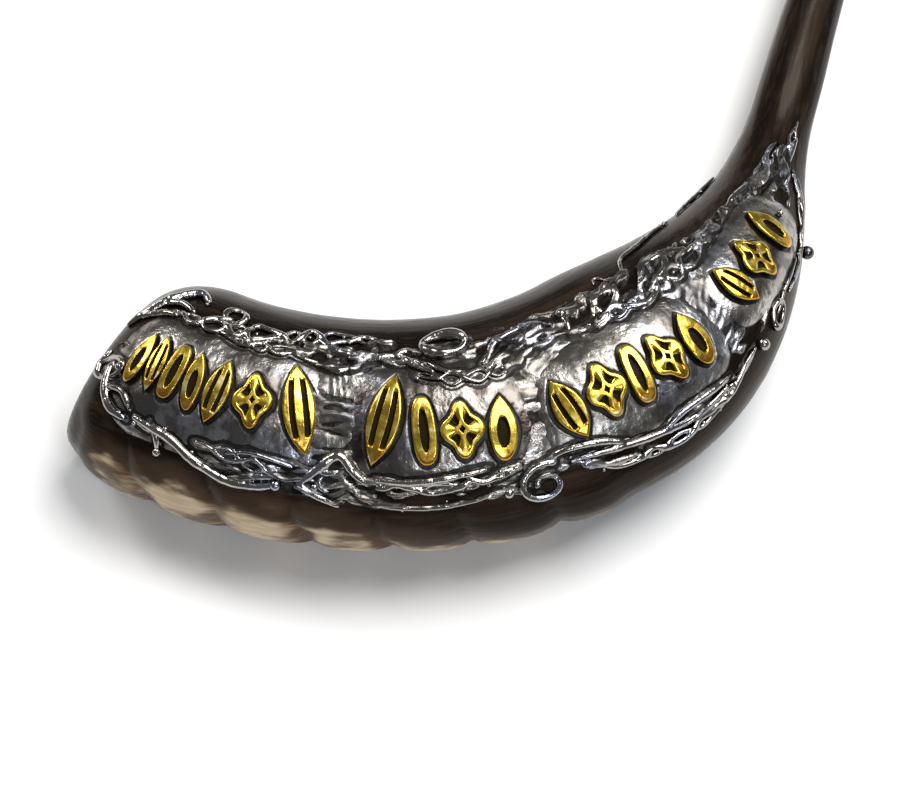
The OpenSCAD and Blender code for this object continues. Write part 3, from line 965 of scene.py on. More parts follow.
class BeadTree(GrowthTree):
    """Tree that sets one round bead on every point, at the point's own size."""

    roundness = 4

    def __init__(self, material: bpy.types.Material) -> None:
        """Build the tree: points, a bead on each, realized, with a material.

        Args:
            material: Finish of what the tree grows.
        """
        super().__init__("bead_tree", "Places", "Beads", {"Roundness": "NodeSocketInt"})
        ball = self.node("GeometryNodeMeshIcoSphere", Radius=1.0)
        place = self.node("GeometryNodeInstanceOnPoints")
        self.join((self.start.outputs["Places"], place.inputs["Points"]),
                  (self.start.outputs["Roundness"], ball.inputs["Subdivisions"]),
                  (ball.outputs["Mesh"], place.inputs["Instance"]),
                  (self.thickness(), place.inputs["Scale"]))
        self.close(place.outputs["Instances"], material, True)

    def scatter(self, name: str, places: np.ndarray, radii: np.ndarray) -> bpy.types.Object:
        """Return a piece with one closed ball per place, both in millimetres."""
        return self.grow(name, places, radii, [], (self.roundness,))


# ---------------------------------------------------------------- finishes


class Nodes:
    """Small helper that adds and joins shader nodes of one material."""

    def __init__(self, name: str) -> None:
        """Start a material with an empty node tree but for the surface shader.

        Args:
            name: Name of the material.
        """
        self.material = bpy.data.materials.new(name)
        self.material.use_nodes = True
        self.tree = self.material.node_tree
        self.shader = self.tree.nodes["Principled BSDF"]

    def attribute(self, name: str, output: str = "Fac") -> bpy.types.NodeSocket:
        """Return the piece's own attribute of that name, a number unless output is Vector.

        Args:
            name: Name of the attribute.
            output: Output to read, Fac or Vector.

        Returns:
            The output socket.
        """
        node = self.tree.nodes.new("ShaderNodeAttribute")
        node.attribute_name = name
        return node.outputs[output]

    def noise(self, scale: float, detail: float = 4.0, stretch: Vector | None = None,
              source: bpy.types.NodeSocket | None = None) -> bpy.types.NodeSocket:
        """Return a noise pattern.

        Args:
            scale: Noise cells per metre.
            detail: Octaves of detail.
            stretch: Scale of each axis of the pattern, none to leave it even.
            source: Vector to read, or none for Object coordinates.

        Returns:
            The pattern from 0 to 1.
        """
        node = self.tree.nodes.new("ShaderNodeTexNoise")
        node.inputs["Scale"].default_value = scale
        node.inputs["Detail"].default_value = detail
        if source is None:
            source = self.tree.nodes.new("ShaderNodeTexCoord").outputs["Object"]
        if stretch is not None:
            mapping = self.tree.nodes.new("ShaderNodeMapping")
            mapping.inputs["Scale"].default_value = stretch
            self.tree.links.new(source, mapping.inputs["Vector"])
            source = mapping.outputs["Vector"]
        self.tree.links.new(source, node.inputs["Vector"])
        return node.outputs["Fac"]

    def spread(self, value: bpy.types.NodeSocket, low: float, high: float,
               to_low: float = 0.0, to_high: float = 1.0) -> bpy.types.NodeSocket:
        """Return value eased from low..high to to_low..to_high.

        Args:
            value: Pattern to ease.
            low: Value that gives to_low.
            high: Value that gives to_high.
            to_low: Result at low.
            to_high: Result at high.

        Returns:
            The eased pattern.
        """
        node = self.tree.nodes.new("ShaderNodeMapRange")
        node.interpolation_type = "SMOOTHSTEP"
        for key, number in (("From Min", low), ("From Max", high), ("To Min", to_low), ("To Max", to_high)):
            node.inputs[key].default_value = number
        self.tree.links.new(value, node.inputs["Value"])
        return node.outputs["Result"]

    def math(self, operation: str, a: bpy.types.NodeSocket, b: bpy.types.NodeSocket) -> bpy.types.NodeSocket:
        """Return a and b joined by a math operation, limited to 0..1.

        Args:
            operation: Name of the operation.
            a: First pattern.
            b: Second pattern.

        Returns:
            The result.
        """
        node = self.tree.nodes.new("ShaderNodeMath")
        node.operation = operation
        node.use_clamp = True
        self.tree.links.new(a, node.inputs[0])
        self.tree.links.new(b, node.inputs[1])
        return node.outputs[0]

    def blend(self, share: bpy.types.NodeSocket, a: bpy.types.NodeSocket | Colour,
              b: bpy.types.NodeSocket | Colour) -> bpy.types.NodeSocket:
        """Return colour a where share is 0 and colour b where it is 1.

        Args:
            share: Share of b.
            a: First colour.
            b: Second colour.

        Returns:
            The blended colour.
        """
        node = self.tree.nodes.new("ShaderNodeMix")
        node.data_type = "RGBA"
        self.tree.links.new(share, node.inputs["Factor"])
        for key, colour in ((6, a), (7, b)):
            if isinstance(colour, tuple):
                node.inputs[key].default_value = colour
            else:
                self.tree.links.new(colour, node.inputs[key])
        return node.outputs[2]

    def bump(self, height: bpy.types.NodeSocket, distance: float, strength: float) -> None:
        """Add fine relief to the shading.

        Args:
            height: Pattern of heights.
            distance: Height of the relief in metres.
            strength: Share of the relief that shows.
        """
        node = self.tree.nodes.new("ShaderNodeBump")
        node.inputs["Distance"].default_value = distance
        node.inputs["Strength"].default_value = strength
        self.tree.links.new(height, node.inputs["Height"])
        self.tree.links.new(node.outputs["Normal"], self.shader.inputs["Normal"])

    def set(self, socket: str, value: bpy.types.NodeSocket | float | Colour) -> None:
        """Join a pattern to a shader socket, or set the socket's own value.

        Args:
            socket: Name of the shader's input.
            value: Pattern, number or colour.
        """
        if isinstance(value, bpy.types.NodeSocket):
            self.tree.links.new(value, self.shader.inputs[socket])
        else:
            self.shader.inputs[socket].default_value = value


@dataclass(frozen=True)
class HornFinish:
    """Polished dark horn with lengthwise streaks and cream growth ridges, with painted shade in the ridges'
    creases and a painted highlight on their crests.
    """

    dark: Colour = (0.0065, 0.0042, 0.0032, 1.0)
    streak: Colour = (0.030, 0.019, 0.0125, 1.0)
    umber: Colour = (0.060, 0.038, 0.025, 1.0)
    # cream lights the ridges' crests, partly their colour and partly a painted highlight; rust darkens their
    # creases, partly stain and partly painted shade
    cream: Colour = (0.56, 0.43, 0.28, 1.0)
    bone: Colour = (0.76, 0.66, 0.50, 1.0)
    tan: Colour = (0.20, 0.125, 0.072, 1.0)
    rust: Colour = (0.070, 0.026, 0.012, 1.0)
    sheen: Colour = (1.0, 0.80, 0.62, 1.0)
    roughness: float = 0.24

    def material(self) -> bpy.types.Material:
        """Return the finish as a material.

        Returns:
            The material.
        """
        n = Nodes("polished_horn")
        place = n.attribute("horn_place", "Vector")
        streaks = n.noise(1.0, 6.0, Vector((0.16, 1.6, 1.6)), place)
        fibres = n.noise(1.0, 5.0, Vector((1.6, 9.0, 9.0)), place)
        clouds = n.noise(1.0, 5.0, Vector((0.8, 1.3, 1.3)), place)
        body = n.blend(n.spread(streaks, 0.42, 0.72), self.dark, self.streak)
        body = n.blend(n.spread(fibres, 0.5, 0.8, 0.0, 0.3), body, self.umber)
        # Crests painted lighter than the troughs: the ridges' colour with a painted highlight.
        warm = n.blend(n.spread(n.attribute("crest_and_highlight"), 0.15, 0.85), self.tan, self.cream)
        warm = n.blend(n.spread(fibres, 0.42, 0.75, 0.0, 0.5), warm, self.bone)
        warm = n.blend(n.spread(clouds, 0.44, 0.64, 0.0, 0.85), warm, self.umber)
        # Creases painted rust-dark: rust stain and painted shade between the ridges.
        warm = n.blend(n.spread(n.attribute("crease_stain_and_shade"), 0.1, 0.9), warm, self.rust)
        half = n.blend(n.spread(n.attribute("cream"), 0.0, 0.5), body, self.umber)
        n.set("Base Color", n.blend(n.spread(n.attribute("cream"), 0.45, 1.0), half, warm))
        n.set("Roughness", n.spread(fibres, 0.3, 0.7, self.roughness - 0.05, self.roughness + 0.10))
        n.set("Specular IOR Level", 0.12)
        n.set("Specular Tint", self.sheen)
        n.set("Coat Weight", 0.05)
        n.set("Coat Roughness", 0.12)
        n.bump(fibres, 0.0002, 0.25)
        return n.material


@dataclass(frozen=True)
class SilverFinish:
    """Silver plate, hammered, stained brown in places, tinted with bluish patches of painted reflection, and
    blackened in its recesses, partly as patina and partly as painted shade.
    """

    name: str = "blackened_silver"
    bright: Colour = (0.50, 0.475, 0.44, 1.0)
    # bluish tint, placed at random, is a painted reflection of the cool light
    cool_reflection: Colour = (0.48, 0.52, 0.65, 1.0)
    smudge: Colour = (0.105, 0.092, 0.082, 1.0)
    stain: Colour = (0.060, 0.046, 0.043, 1.0)
    black: Colour = (0.010, 0.008, 0.007, 1.0)
    roughness: float = 0.2
    smudged: float = 0.8

    def material(self) -> bpy.types.Material:
        """Return the finish as a material.

        Returns:
            The material.
        """
        n = Nodes(self.name)
        broad, small = n.noise(125.0, 8.0), n.noise(700.0, 4.0)
        # Bluish patches at random: painted reflection of cool light.
        metal = n.blend(n.spread(n.noise(55.0, 2.0), 0.50, 0.64, 0.0, 0.6), self.bright, self.cool_reflection)
        metal = n.blend(n.spread(broad, 0.43, 0.57, 0.0, self.smudged), metal, self.smudge)
        worn = n.spread(broad, 0.36, 0.56, 1.0, 0.4)
        metal = n.blend(n.math("MULTIPLY", n.attribute("brown"), worn), metal, self.stain)
        # Black from patina in the hollows and painted shade along strands and gold, with fine random specks.
        blackening_and_shade = n.math("ADD", n.attribute("patina_and_shade"), n.spread(small, 0.54, 0.72, 0.0, 0.3))
        n.set("Base Color", n.blend(n.spread(blackening_and_shade, 0.12, 0.8), metal, self.black))
        n.set("Metallic", n.spread(blackening_and_shade, 0.7, 1.0, 1.0, 0.2))
        n.set("Roughness", n.spread(blackening_and_shade, 0.0, 1.0, self.roughness, 0.45))
        n.bump(n.math("ADD", broad, small), 0.0006, 0.4)
        return n.material


@dataclass(frozen=True)
class GoldFinish:
    """Bright gold plate with amber painted shade at its lower ends, pale painted highlight patches, and
    black in its recesses, partly as blackening and partly as painted shade.
    """

    bright: Colour = (0.72, 0.51, 0.075, 1.0)
    # pale patches are painted highlights
    pale: Colour = (0.76, 0.74, 0.40, 1.0)
    # amber paints the lower ends as shade
    amber_shade: Colour = (0.50, 0.22, 0.03, 1.0)
    black: Colour = (0.02, 0.013, 0.006, 1.0)
    roughness: float = 0.24

    def material(self) -> bpy.types.Material:
        """Return the finish as a material.

        Returns:
            The material.
        """
        n = Nodes("gold_plate")
        cloud = n.noise(300.0, 3.0)
        # Lower ends painted amber as shade.
        gold = n.blend(n.spread(n.attribute("tip"), 0.35, 1.0, 0.0, 0.75), self.bright, self.amber_shade)
        # Pale patches at random stand for painted highlights.
        gold = n.blend(n.spread(cloud, 0.55, 0.72, 0.0, 0.7), gold, self.pale)
        # Pits and walls painted black with little reflection: blackening and painted shade.
        n.set("Base Color", n.blend(n.spread(n.attribute("patina_and_shade"), 0.1, 0.7), gold, self.black))
        n.set("Metallic", n.spread(n.attribute("patina_and_shade"), 0.3, 0.8, 1.0, 0.0))
        n.set("Specular IOR Level", n.spread(n.attribute("patina_and_shade"), 0.3, 0.8, 0.5, 0.03))
        n.set("Roughness", n.spread(cloud, 0.3, 0.7, self.roughness - 0.05, self.roughness + 0.1))
        n.bump(n.noise(900.0, 3.0), 0.0002, 0.2)
        return n.material


# ---------------------------------------------------------------- the horn


@dataclass
class HornBody:
    """The ram's horn: ridged outside, hollow belly, drilled bore and mouthpiece cup."""

    form: HornForm
    sides: int = 200
    pitch: float = 0.9
    rim_round: float = 1.3
    ridge_lean: float = 0.10
    ridge_share: float = 0.96
    crown_power: float = 2.4
    groove: float = 0.9
    grain_depth: float = 0.12
    dent_depth: float = 0.3

    def ridge(self, s: np.ndarray, t: np.ndarray) -> tuple[np.ndarray, np.ndarray, np.ndarray]:
        """Return the height of the growth ridges, the rust stain and painted shade in their creases, and
        their crests, which are painted lighter as a highlight.

        Args:
            s: Distance along the spine.
            t: Angle round the section.

        Returns:
            Heights in millimetres, then the masks of the creases (rust stain and painted shade) and of the
            crests (painted highlight), from 0 to 1.
        """
        form = self.form
        turned = np.where(t > 180, t - 360, t)
        f = (s + self.ridge_lean * turned - form.ridge_from) / form.ridge_pitch \
            + 0.13 * pattern(s, turned, 22, 22, 5, 2)
        inside = smooth(f * 4) * smooth((form.ridge_count - f) * 2)
        crown = 1 - np.abs(2 * (f - np.floor(f)) - 1) ** self.crown_power
        side = np.maximum(np.cos(np.radians(t)), 0) ** 2
        patchy = 0.6 + 0.9 * pattern(s, turned, 6, 9, 83, 3)
        # Mask of the creases between the ridges: rust stain and painted shade.
        crease_stain_and_shade = smooth((1 - crown) * 1.7) * clamp01(patchy) * inside
        groove = self.groove * (1 - crown) ** 2 * inside * np.sqrt(side)
        height = self.ridge_share * form.ridge_h * crown * side * inside
        return height - groove, crease_stain_and_shade, crown * inside

    def outside(self, s: np.ndarray, t: np.ndarray,
                trim: np.ndarray) -> tuple[np.ndarray, dict[str, np.ndarray]]:
        """Return points and shades of the outside.

        Args:
            s: Distance along the spine.
            t: Angle round the section.
            trim: Depth taken off for the rounded rims.

        Returns:
            Points in millimetres, the cream shade, and the masks of the creases (rust stain and painted
            shade) and of the crests (painted highlight).
        """
        ridge, crease_stain_and_shade, crest_and_highlight = self.ridge(s, t)
        turned = np.where(t > 180, t - 360, t)
        girth = np.radians(t) * self.form.half_width(s)
        grain = pattern(s, girth, 24, 1.7, 11, 3)
        dents = pattern(s, girth, 21, 13, 23, 2)
        lift = ridge - trim - self.grain_depth * (0.5 + 0.5 * grain) - self.dent_depth * (0.5 + 0.5 * dents)
        ragged = pattern(s, turned, 7, 9, 31, 3)
        top_edge = 30 - 34 * smooth((s - 50) / 75) + 10 * ragged + 7 * (crest_and_highlight - 0.6)
        cream = 0.3 * smooth((top_edge + 14 - turned) / 16) + 0.7 * smooth((top_edge - 3 - turned) / 15)
        cream = cream * smooth((turned + 92 + 12 * ragged) / 16)
        cream = cream * smooth((s - 9 + 5 * ragged) / 10) * smooth((134 + 10 * ragged - s) / 16)
        crest_and_highlight = clamp01(crest_and_highlight + 0.35 * ragged)
        return self.form.point(s, t, lift), {"cream": cream, "crease_stain_and_shade": crease_stain_and_shade, "crest_and_highlight": crest_and_highlight}

    def build(self, finish: bpy.types.Material) -> bpy.types.Object:
        """Build the horn as one closed mesh and dress it.

        Args:
            finish: Material of the horn.

        Returns:
            The horn, which stands for both horn nodes.
        """
        form, r = self.form, self.rim_round
        round_in = np.array([0.0, 0.12, 0.35, 0.7, 1.0]) * r
        straight = np.arange(r + self.pitch, form.length - r - self.pitch / 2, self.pitch)
        s = np.concatenate([round_in, straight, form.length - round_in[::-1]])
        edge = np.minimum(np.minimum(s, form.length - s), r)
        trim = r - np.sqrt(np.maximum(r * r - (r - edge) ** 2, 0))
        t = np.arange(self.sides) * 360.0 / self.sides
        ss, tt = np.meshgrid(s, t, indexing="ij")
        outer, shades = self.outside(ss, tt, np.repeat(trim[:, None], self.sides, 1))
        bore = self.bore(t)
        back = np.concatenate([np.arange(form.arc_end - 2, 4, -4.0), [2.0, 1.0, 0.4, 0.0]])
        bs, bt = np.meshgrid(back, t, indexing="ij")
        flare = np.repeat(0.9 * clamp01(1 - back / 2.0)[:, None] ** 2, self.sides, 1)
        hollow = form.hollow(bs, bt, flare)
        rings = np.concatenate([outer, bore, hollow])
        hidden = len(bore) + len(hollow)
        shades = {key: np.concatenate([v, np.zeros((hidden, self.sides))]) for key, v in shades.items()}
        along = np.concatenate([s, np.full(len(bore), form.length), back])
        girth = form.half_width(along)[:, None] / 10
        place = np.stack(np.broadcast_arrays(along[:, None] / 10, girth * np.cos(np.radians(t)),
                                             girth * np.sin(np.radians(t))), -1)
        shades["horn_place"] = place
        piece = tube_mesh("ram_horn", rings, shades, wrap=True)
        dress(piece, finish, Slot.HORN, "horn_body", "horn_neck")
        return piece

    def bore(self, t: np.ndarray) -> np.ndarray:
        """Return rings of the cup and the bore, from the lips down to the hollow.

        Args:
            t: Angle round the section.

        Returns:
            Points in millimetres, shape (rings, sides, 3).
        """
        form = self.form
        middle = form.spine_point(np.array([form.arc_end, form.length]))
        run = middle[0] - middle[1]
        reach = float(np.linalg.norm(run))
        run = run / reach
        h = math.radians(float(form.heading(np.array(form.length))))
        out = np.array([math.sin(h), -math.cos(h), 0.0])
        up = np.cross(out, -run)
        up = up if up[2] > 0 else -up
        cup = np.array([0.0, 0.1, 0.3, 0.6, 1.0, 2.0, 3.5, 5.0, 6.5, form.cup_depth, form.cup_depth + 1])
        depth = np.concatenate([cup, np.linspace(form.cup_depth + 6, reach - 1.0, 16)])
        widths = form.bore_r + (form.cup_r - form.bore_r) * smooth(1 - depth / form.cup_depth)
        widths = widths + 0.5 * clamp01(1 - depth / 0.6) ** 2
        c, d = np.cos(np.radians(t)), np.sin(np.radians(t))
        ring = c[:, None] * out + d[:, None] * up
        return middle[1] + depth[:, None, None] * run + widths[:, None, None] * ring


# ---------------------------------------------------------------- silver


@dataclass
class SilverGround:
    """Thin ragged silver sheet under the fields and the vine, pitted along its edges."""

    plan: ReliefPlan
    start: float = 5.0
    end: float = 242.0
    middle: float = 76.0
    half: float = 26.0
    rib_at: float = 69.5
    rib_angle: float = 96.0
    rib_pitch: float = 1.8
    sink: float = 0.7
    web_h: float = 0.8
    beaten_h: float = 0.22
    fold_h: float = 0.75
    rows: int = 420
    across: int = 110

    def half_angle(self, s: np.ndarray) -> np.ndarray:
        """Return the sheet's half width in degrees round the horn.

        Args:
            s: Distance along the spine.

        Returns:
            Half widths in degrees.
        """
        f = 180 * clamp01((s - self.start + 0.6) / (self.end - self.start + 1.2))
        form = self.plan.form
        wide = self.half * np.sin(np.radians(f)) ** 0.35
        return wide * np.minimum(1, form.half_width(s) / (form.belly_w / 2)) * form.degrees_per_mm(s)

    def build(self, finish: bpy.types.Material) -> bpy.types.Object:
        """Build the sheet, which rises to meet the strands, and dress it.

        Args:
            finish: Material of the sheet.

        Returns:
            The sheet, a closed shell.
        """
        plan, form = self.plan, self.plan.form
        s = np.linspace(self.start, self.end, self.rows)[:, None]
        u = np.linspace(-1, 1, self.across)[None]
        ragged = pattern(s, 3 * np.sign(u), 6.5, 1, 3, 3)
        t = self.middle + u * self.half_angle(s) * (0.9 + 0.1 * ragged)
        s = np.broadcast_to(s, t.shape)
        girth = t / form.degrees_per_mm(s)
        warp = 2.2 * pattern(s, girth, 10, 7, 61, 2)
        holes = pattern(s + warp, girth + warp, 7.5, 2.7, 7, 2)
        border = smooth((np.abs(u) - 0.5 + 0.5 * smooth((s - 205) / 25)) / 0.25)
        pit = smooth((holes + 0.02) / 0.14) * border
        folds = 1 - np.abs(pattern(s + warp, girth - warp, 8.5, 2.2, 19, 2)) * 2.4
        beaten = pattern(s, girth, 3.2, 2.6, 13, 3)
        valley = smooth(1 - np.abs(s - self.rib_at) / 4.5)
        ribbed = valley * smooth(1 - np.abs(t - self.rib_angle) / 14)
        rib = np.cos(2 * math.pi * (s + 0.25 * girth) / self.rib_pitch) * ribbed
        edge = smooth((1 - np.abs(u)) / 0.06)
        gap = plan.strand_gap(s, t)
        web = smooth((2.2 - gap) / 1.3)
        pit = pit * (1 - smooth((1.5 - gap) / 0.5))
        metal = plan.ground_h + self.web_h * web + self.beaten_h * (beaten + rib)
        metal = metal + self.fold_h * clamp01(folds) * (0.35 + 0.65 * border)
        top = metal * edge * (1 - pit) - self.sink * (1 - edge * (1 - pit))
        upper = form.point(s, t, top)
        lower = form.point(s[:, ::-1], t[:, ::-1], -self.sink - 0.4)
        # Black in pits, at the edges, in low folds and hammer marks, and at the strands' feet, where it is
        # partly painted shadow.
        blackening_and_shade = clamp01(pit + 0.7 * (1 - edge) + 0.8 * smooth((0.35 - folds) / 0.6)
                       + 0.95 * plan.foot_black_and_shadow(gap, beaten) + 0.35 * smooth(-beaten * 3 - 0.4)
                       + 0.2 * smooth(-rib * 2))
        blackening_and_shade = np.concatenate([blackening_and_shade, np.ones_like(blackening_and_shade)], 1)
        rings = np.concatenate([upper, lower], 1)
        piece = tube_mesh("silver_sheet", rings, {"patina_and_shade": blackening_and_shade, "brown": np.full(blackening_and_shade.shape, 0.35)})
        dress(piece, finish, Slot.SILVER, "silver_ground")
        return piece


@dataclass
class SilverFields:
    """The four domed fields, hammered, and blackened round the gold, partly as patina and partly as painted
    shadow of the raised gold.
    """

    plan: ReliefPlan
    rows: int = 110
    sides: int = 340
    beaten_depth: float = 0.34
    recess: float = 0.3
    browns: tuple[float, ...] = (0.55, 1.0, 0.6, 0.4)

    def build(self, finish: bpy.types.Material) -> list[bpy.types.Object]:
        """Build the fields and dress them.

        Args:
            finish: Material of the fields.

        Returns:
            One closed piece for each field.
        """
        return [self.field(i, place, finish) for i, place in enumerate(self.plan.fields)]

    def field(self, index: int, place: FieldPlace, finish: bpy.types.Material) -> bpy.types.Object:
        """Build one field.

        Args:
            index: Number of the field, from 0.
            place: Where it lies.
            finish: Material of the piece.

        Returns:
            The field, a closed shell.
        """
        plan, form = self.plan, self.plan.form
        share = np.sin(np.linspace(0.012, math.pi / 2, self.rows))[:, None]
        a = (np.arange(self.sides) * 2 * math.pi / self.sides)[None]
        c, d = np.cos(a), np.sin(a)
        wide = (np.abs(c) ** 3 + np.abs(d) ** 3) ** (-1 / 3)
        s = place.along + share * wide * c * place.half_length
        t = place.angle + share * wide * d * place.half_width * form.degrees_per_mm(s)
        girth = t / form.degrees_per_mm(s)
        beaten = pattern(s, girth, 4.4, 3.8, 40 + index, 4)
        scuffs = pattern(s, girth, 1.4, 6.0, 70 + index, 2)
        gap = plan.ornament_gap(s, t)
        # Undercut round each ornament: sunk a little, and painted black as patina and as shadow of the gold.
        undercut_shade = smooth((1.35 - gap) / 0.9)
        haze = smooth((3.6 - gap) / 3.0)
        rise = plan.dome_h * plan.crown(share) * np.ones_like(s)
        top = rise - self.beaten_depth * (0.5 + 0.5 * beaten) - 0.06 * (1 + scuffs) - self.recess * undercut_shade
        top = top - 0.2 * smooth((share - 0.96) / 0.04)
        upper = form.point(s, t, top)
        lower = form.point(s[::-8], t[::-8], np.full(s[::-8].shape, -0.4))
        stain = pattern(s, girth, 9, 7, 90 + index, 3)
        # Black round the gold and at the strands' feet: partly patina, partly painted shadow.
        blackening_and_shade = clamp01(undercut_shade + 0.5 * smooth((share - 0.9) / 0.1) + 0.4 * smooth(-beaten * 2.2 - 0.3)
                       + 0.34 * haze * (0.9 + stain) + 0.9 * plan.foot_black_and_shadow(plan.strand_gap(s, t), beaten))
        brown = clamp01(self.browns[index] * smooth(0.85 + stain - 0.3 * share) * smooth((1.08 - share) * 6))
        rings = np.concatenate([upper, lower])
        bottom = np.ones(lower.shape[:2])
        shades = {"patina_and_shade": np.concatenate([blackening_and_shade, bottom]), "brown": np.concatenate([brown, bottom])}
        piece = tube_mesh(f"silver_dome_{index + 1}", rings, shades)
        dress(piece, finish, Slot.SILVER, f"silver_field_{index + 1}")
        return piece


@dataclass
class SilverVine:
    """The cast vine: strands that part and join again, loops, an open curl, beads and drops."""

    plan: ReliefPlan
    strands: StrandTree
    beads: BeadTree
    pitch: float = 0.7
    eye_len: float = 7.5
    knot: float = 0.16
    curl_knot: float = 0.1
    drop_share: float = 0.1
    drop_seed: int = 12
    curl_at: tuple[float, float] = (118.0, 35.0)
    curl_outer: float = 6.2
    curl_inner: float = 1.6

    def lay(self, s: np.ndarray, t: np.ndarray, width: np.ndarray,
            rise: float = 0.6) -> tuple[np.ndarray, np.ndarray]:
        """Return a strand's middle points and radii where it lies on the relief.

        Args:
            s: Distance along the spine.
            t: Angle round the section.
            width: Thickness in millimetres.
            rise: Height of the middle over the relief, in radii.

        Returns:
            Middle points and radii in millimetres.
        """
        form = self.plan.form
        radius = width / 2
        return form.point(s, t, self.plan.dome(s, t) + rise * radius), radius

    def route(self, stations: tuple[tuple[float, float], ...]) -> np.ndarray:
        """Return evenly spaced points along a given route.

        Args:
            stations: Distances along and angles round the horn.

        Returns:
            Distances and angles, shape (n, 2).
        """
        path = curve_through(np.array(stations, float), 14)
        scale = self.plan.form.degrees_per_mm(path[:, 0])
        steps = np.hypot(np.diff(path[:, 0]), np.diff(path[:, 1]) / scale[1:])
        length = np.concatenate([[0.0], np.cumsum(steps)])
        even = np.linspace(0, length[-1], max(int(length[-1] / self.pitch), 6))
        return np.stack([np.interp(even, length, path[:, k]) for k in (0, 1)], -1)

    def branch(self, stations: tuple[tuple[float, float], ...], width: float, sway: float,
               seed: int) -> list[Route]:
        """Return one strand and, where it sways, the finer one that winds round it.

        Args:
            stations: Distances along and angles round the horn.
            width: Thickness of the strand in millimetres.
            sway: How far its companion swings out, in millimetres.
            seed: Picks the companion's rhythm.

        Returns:
            Routes for the strand tree.
        """
        path = self.route(stations)
        f = np.linspace(0, 1, len(path))
        swell = width * (0.45 + 0.55 * np.sqrt(np.maximum(np.sin(math.pi * f), 0)))
        if sway <= 0:
            return [(*self.lay(path[:, 0], path[:, 1], 1.25 * swell), False)]
        waves = max(len(path) * self.pitch / self.eye_len, 1.0)
        wobble = pattern(path[:, 0], float(seed), 7, 1, 29, 2)
        beat = np.sin(math.pi * waves * f + seed + 1.6 * wobble)
        offset = sway * (1.7 + 0.8 * wobble) * beat * np.sqrt(np.maximum(np.sin(math.pi * f), 0))
        turned = offset * self.plan.form.degrees_per_mm(path[:, 0])
        stout = 0.84 * swell * (0.85 + 0.35 * (1 - np.abs(beat)))
        slim = 0.62 * swell * (0.9 + 0.3 * (1 - np.abs(beat)))
        return [(*self.lay(path[:, 0], path[:, 1] + turned, stout), False),
                (*self.lay(path[:, 0], path[:, 1] - turned, slim, 0.5), False)]

    def strand_routes(self, seed: int, strand: StrandPlace) -> list[Route]:
        """Return the routes of one vine piece, its offshoots included.

        Args:
            seed: Picks the strands' rhythm.
            strand: The vine piece.

        Returns:
            Routes for the strand tree.
        """
        routes = self.branch(strand.route, strand.width, strand.sway, seed)
        for k, offshoot in enumerate(strand.offshoots):
            routes += self.branch(offshoot, 0.72 * strand.width, 0.0, seed + k)
        return routes

    def loop_route(self, loop: LoopPlace) -> Route:
        """Return the closed route of one loop.

        Args:
            loop: The loop.

        Returns:
            Its route for the strand tree.
        """
        a = np.arange(0, 2 * math.pi, self.pitch / max(loop.half_length, loop.half_height))
        lean = math.radians(loop.lean)
        x, y = loop.half_length * np.cos(a), loop.half_height * np.sin(a)
        s = loop.along + x * math.cos(lean) - y * math.sin(lean)
        t = loop.angle + (x * math.sin(lean) + y * math.cos(lean)) * self.plan.form.degrees_per_mm(s)
        return (*self.lay(s, t, 1.2 * loop.width * (1 + 0.2 * np.sin(2 * a + loop.along))), True)

    def curl_route(self) -> Route:
        """Return the route of the open curl, which ends in a small knob.

        Returns:
            Its route for the strand tree.
        """
        f = np.linspace(0, 1, 70)
        a = np.radians(60 + 480 * f)
        r = self.curl_outer + (self.curl_inner - self.curl_outer) * f**0.9
        s = self.curl_at[0] + r * np.cos(a)
        t = self.curl_at[1] + r * np.sin(a) * self.plan.form.degrees_per_mm(s)
        width = THIN * (1.7 - 0.7 * f + 0.6 * smooth((f - 0.9) / 0.08))
        return (*self.lay(s, t, width), False)

    def middles(self) -> np.ndarray:
        """Return the middle points of every strand, loop and curl, in millimetres.

        Returns:
            Points, shape (n, 3).
        """
        routes = [route for seed, strand in enumerate(STRANDS) for route in self.strand_routes(seed, strand)]
        routes += [self.loop_route(loop) for loop in LOOPS] + [self.curl_route()]
        return np.concatenate([route[0] for route in routes])

    def finish_piece(self, piece: bpy.types.Object, routes: list[Route],
                     finish: bpy.types.Material, slot: Slot, *nodes: str) -> bpy.types.Object:
        """Colour a fused piece black at its foot, partly oxide and partly painted shade under the strand,
        and bright on top, and dress it.

        Args:
            piece: The piece.
            routes: Routes that the piece was grown from.
            finish: Material of the piece.
            slot: Material slot, passed on to dress.
            nodes: CAD nodes that the piece stands for.

        Returns:
            The piece.
        """
        places = np.concatenate([r[0] for r in routes])
        radii = np.concatenate([np.broadcast_to(r[1], len(r[0])) for r in routes])
        tree = KDTree(len(places))
        for i, place in enumerate(places):
            tree.insert(place, i)
        tree.balance()
        mesh = piece.data
        flat = np.empty(len(mesh.vertices) * 3)
        mesh.vertices.foreach_get("co", flat)
        skin = flat.reshape(-1, 3) / MM
        nearest = np.array([tree.find(v)[1] for v in skin])
        outward = self.plan.form.outward(places)[nearest]
        height = np.sum((skin - places[nearest]) * outward, axis=1) / radii[nearest]
        speck = rough_noise(skin[:, :2] / 1.1, 17, 2)
        # Darker towards the foot of each strand: oxide and painted shade.
        shades = {"patina_and_shade": smooth((0.05 - height + 0.5 * speck) / 0.75), "brown": np.full(len(skin), 0.3)}
        for name, values in shades.items():
            layer = mesh.attributes.new(name, "FLOAT", "POINT")
            layer.data.foreach_set("value", values.astype(np.float32))
        mesh.polygons.foreach_set("use_smooth", [True] * len(mesh.polygons))
        point_outwards(piece)
        dress(piece, finish, slot, *nodes)
        return piece

    def cast(self, node: str, routes: list[Route], knot: float, finish: bpy.types.Material) -> None:
        """Sweep, shade and dress the piece of one CAD node."""
        piece = self.strands.sweep(node + "_cast", routes, knot)
        self.finish_piece(piece, routes, finish, Slot.SILVER, node)

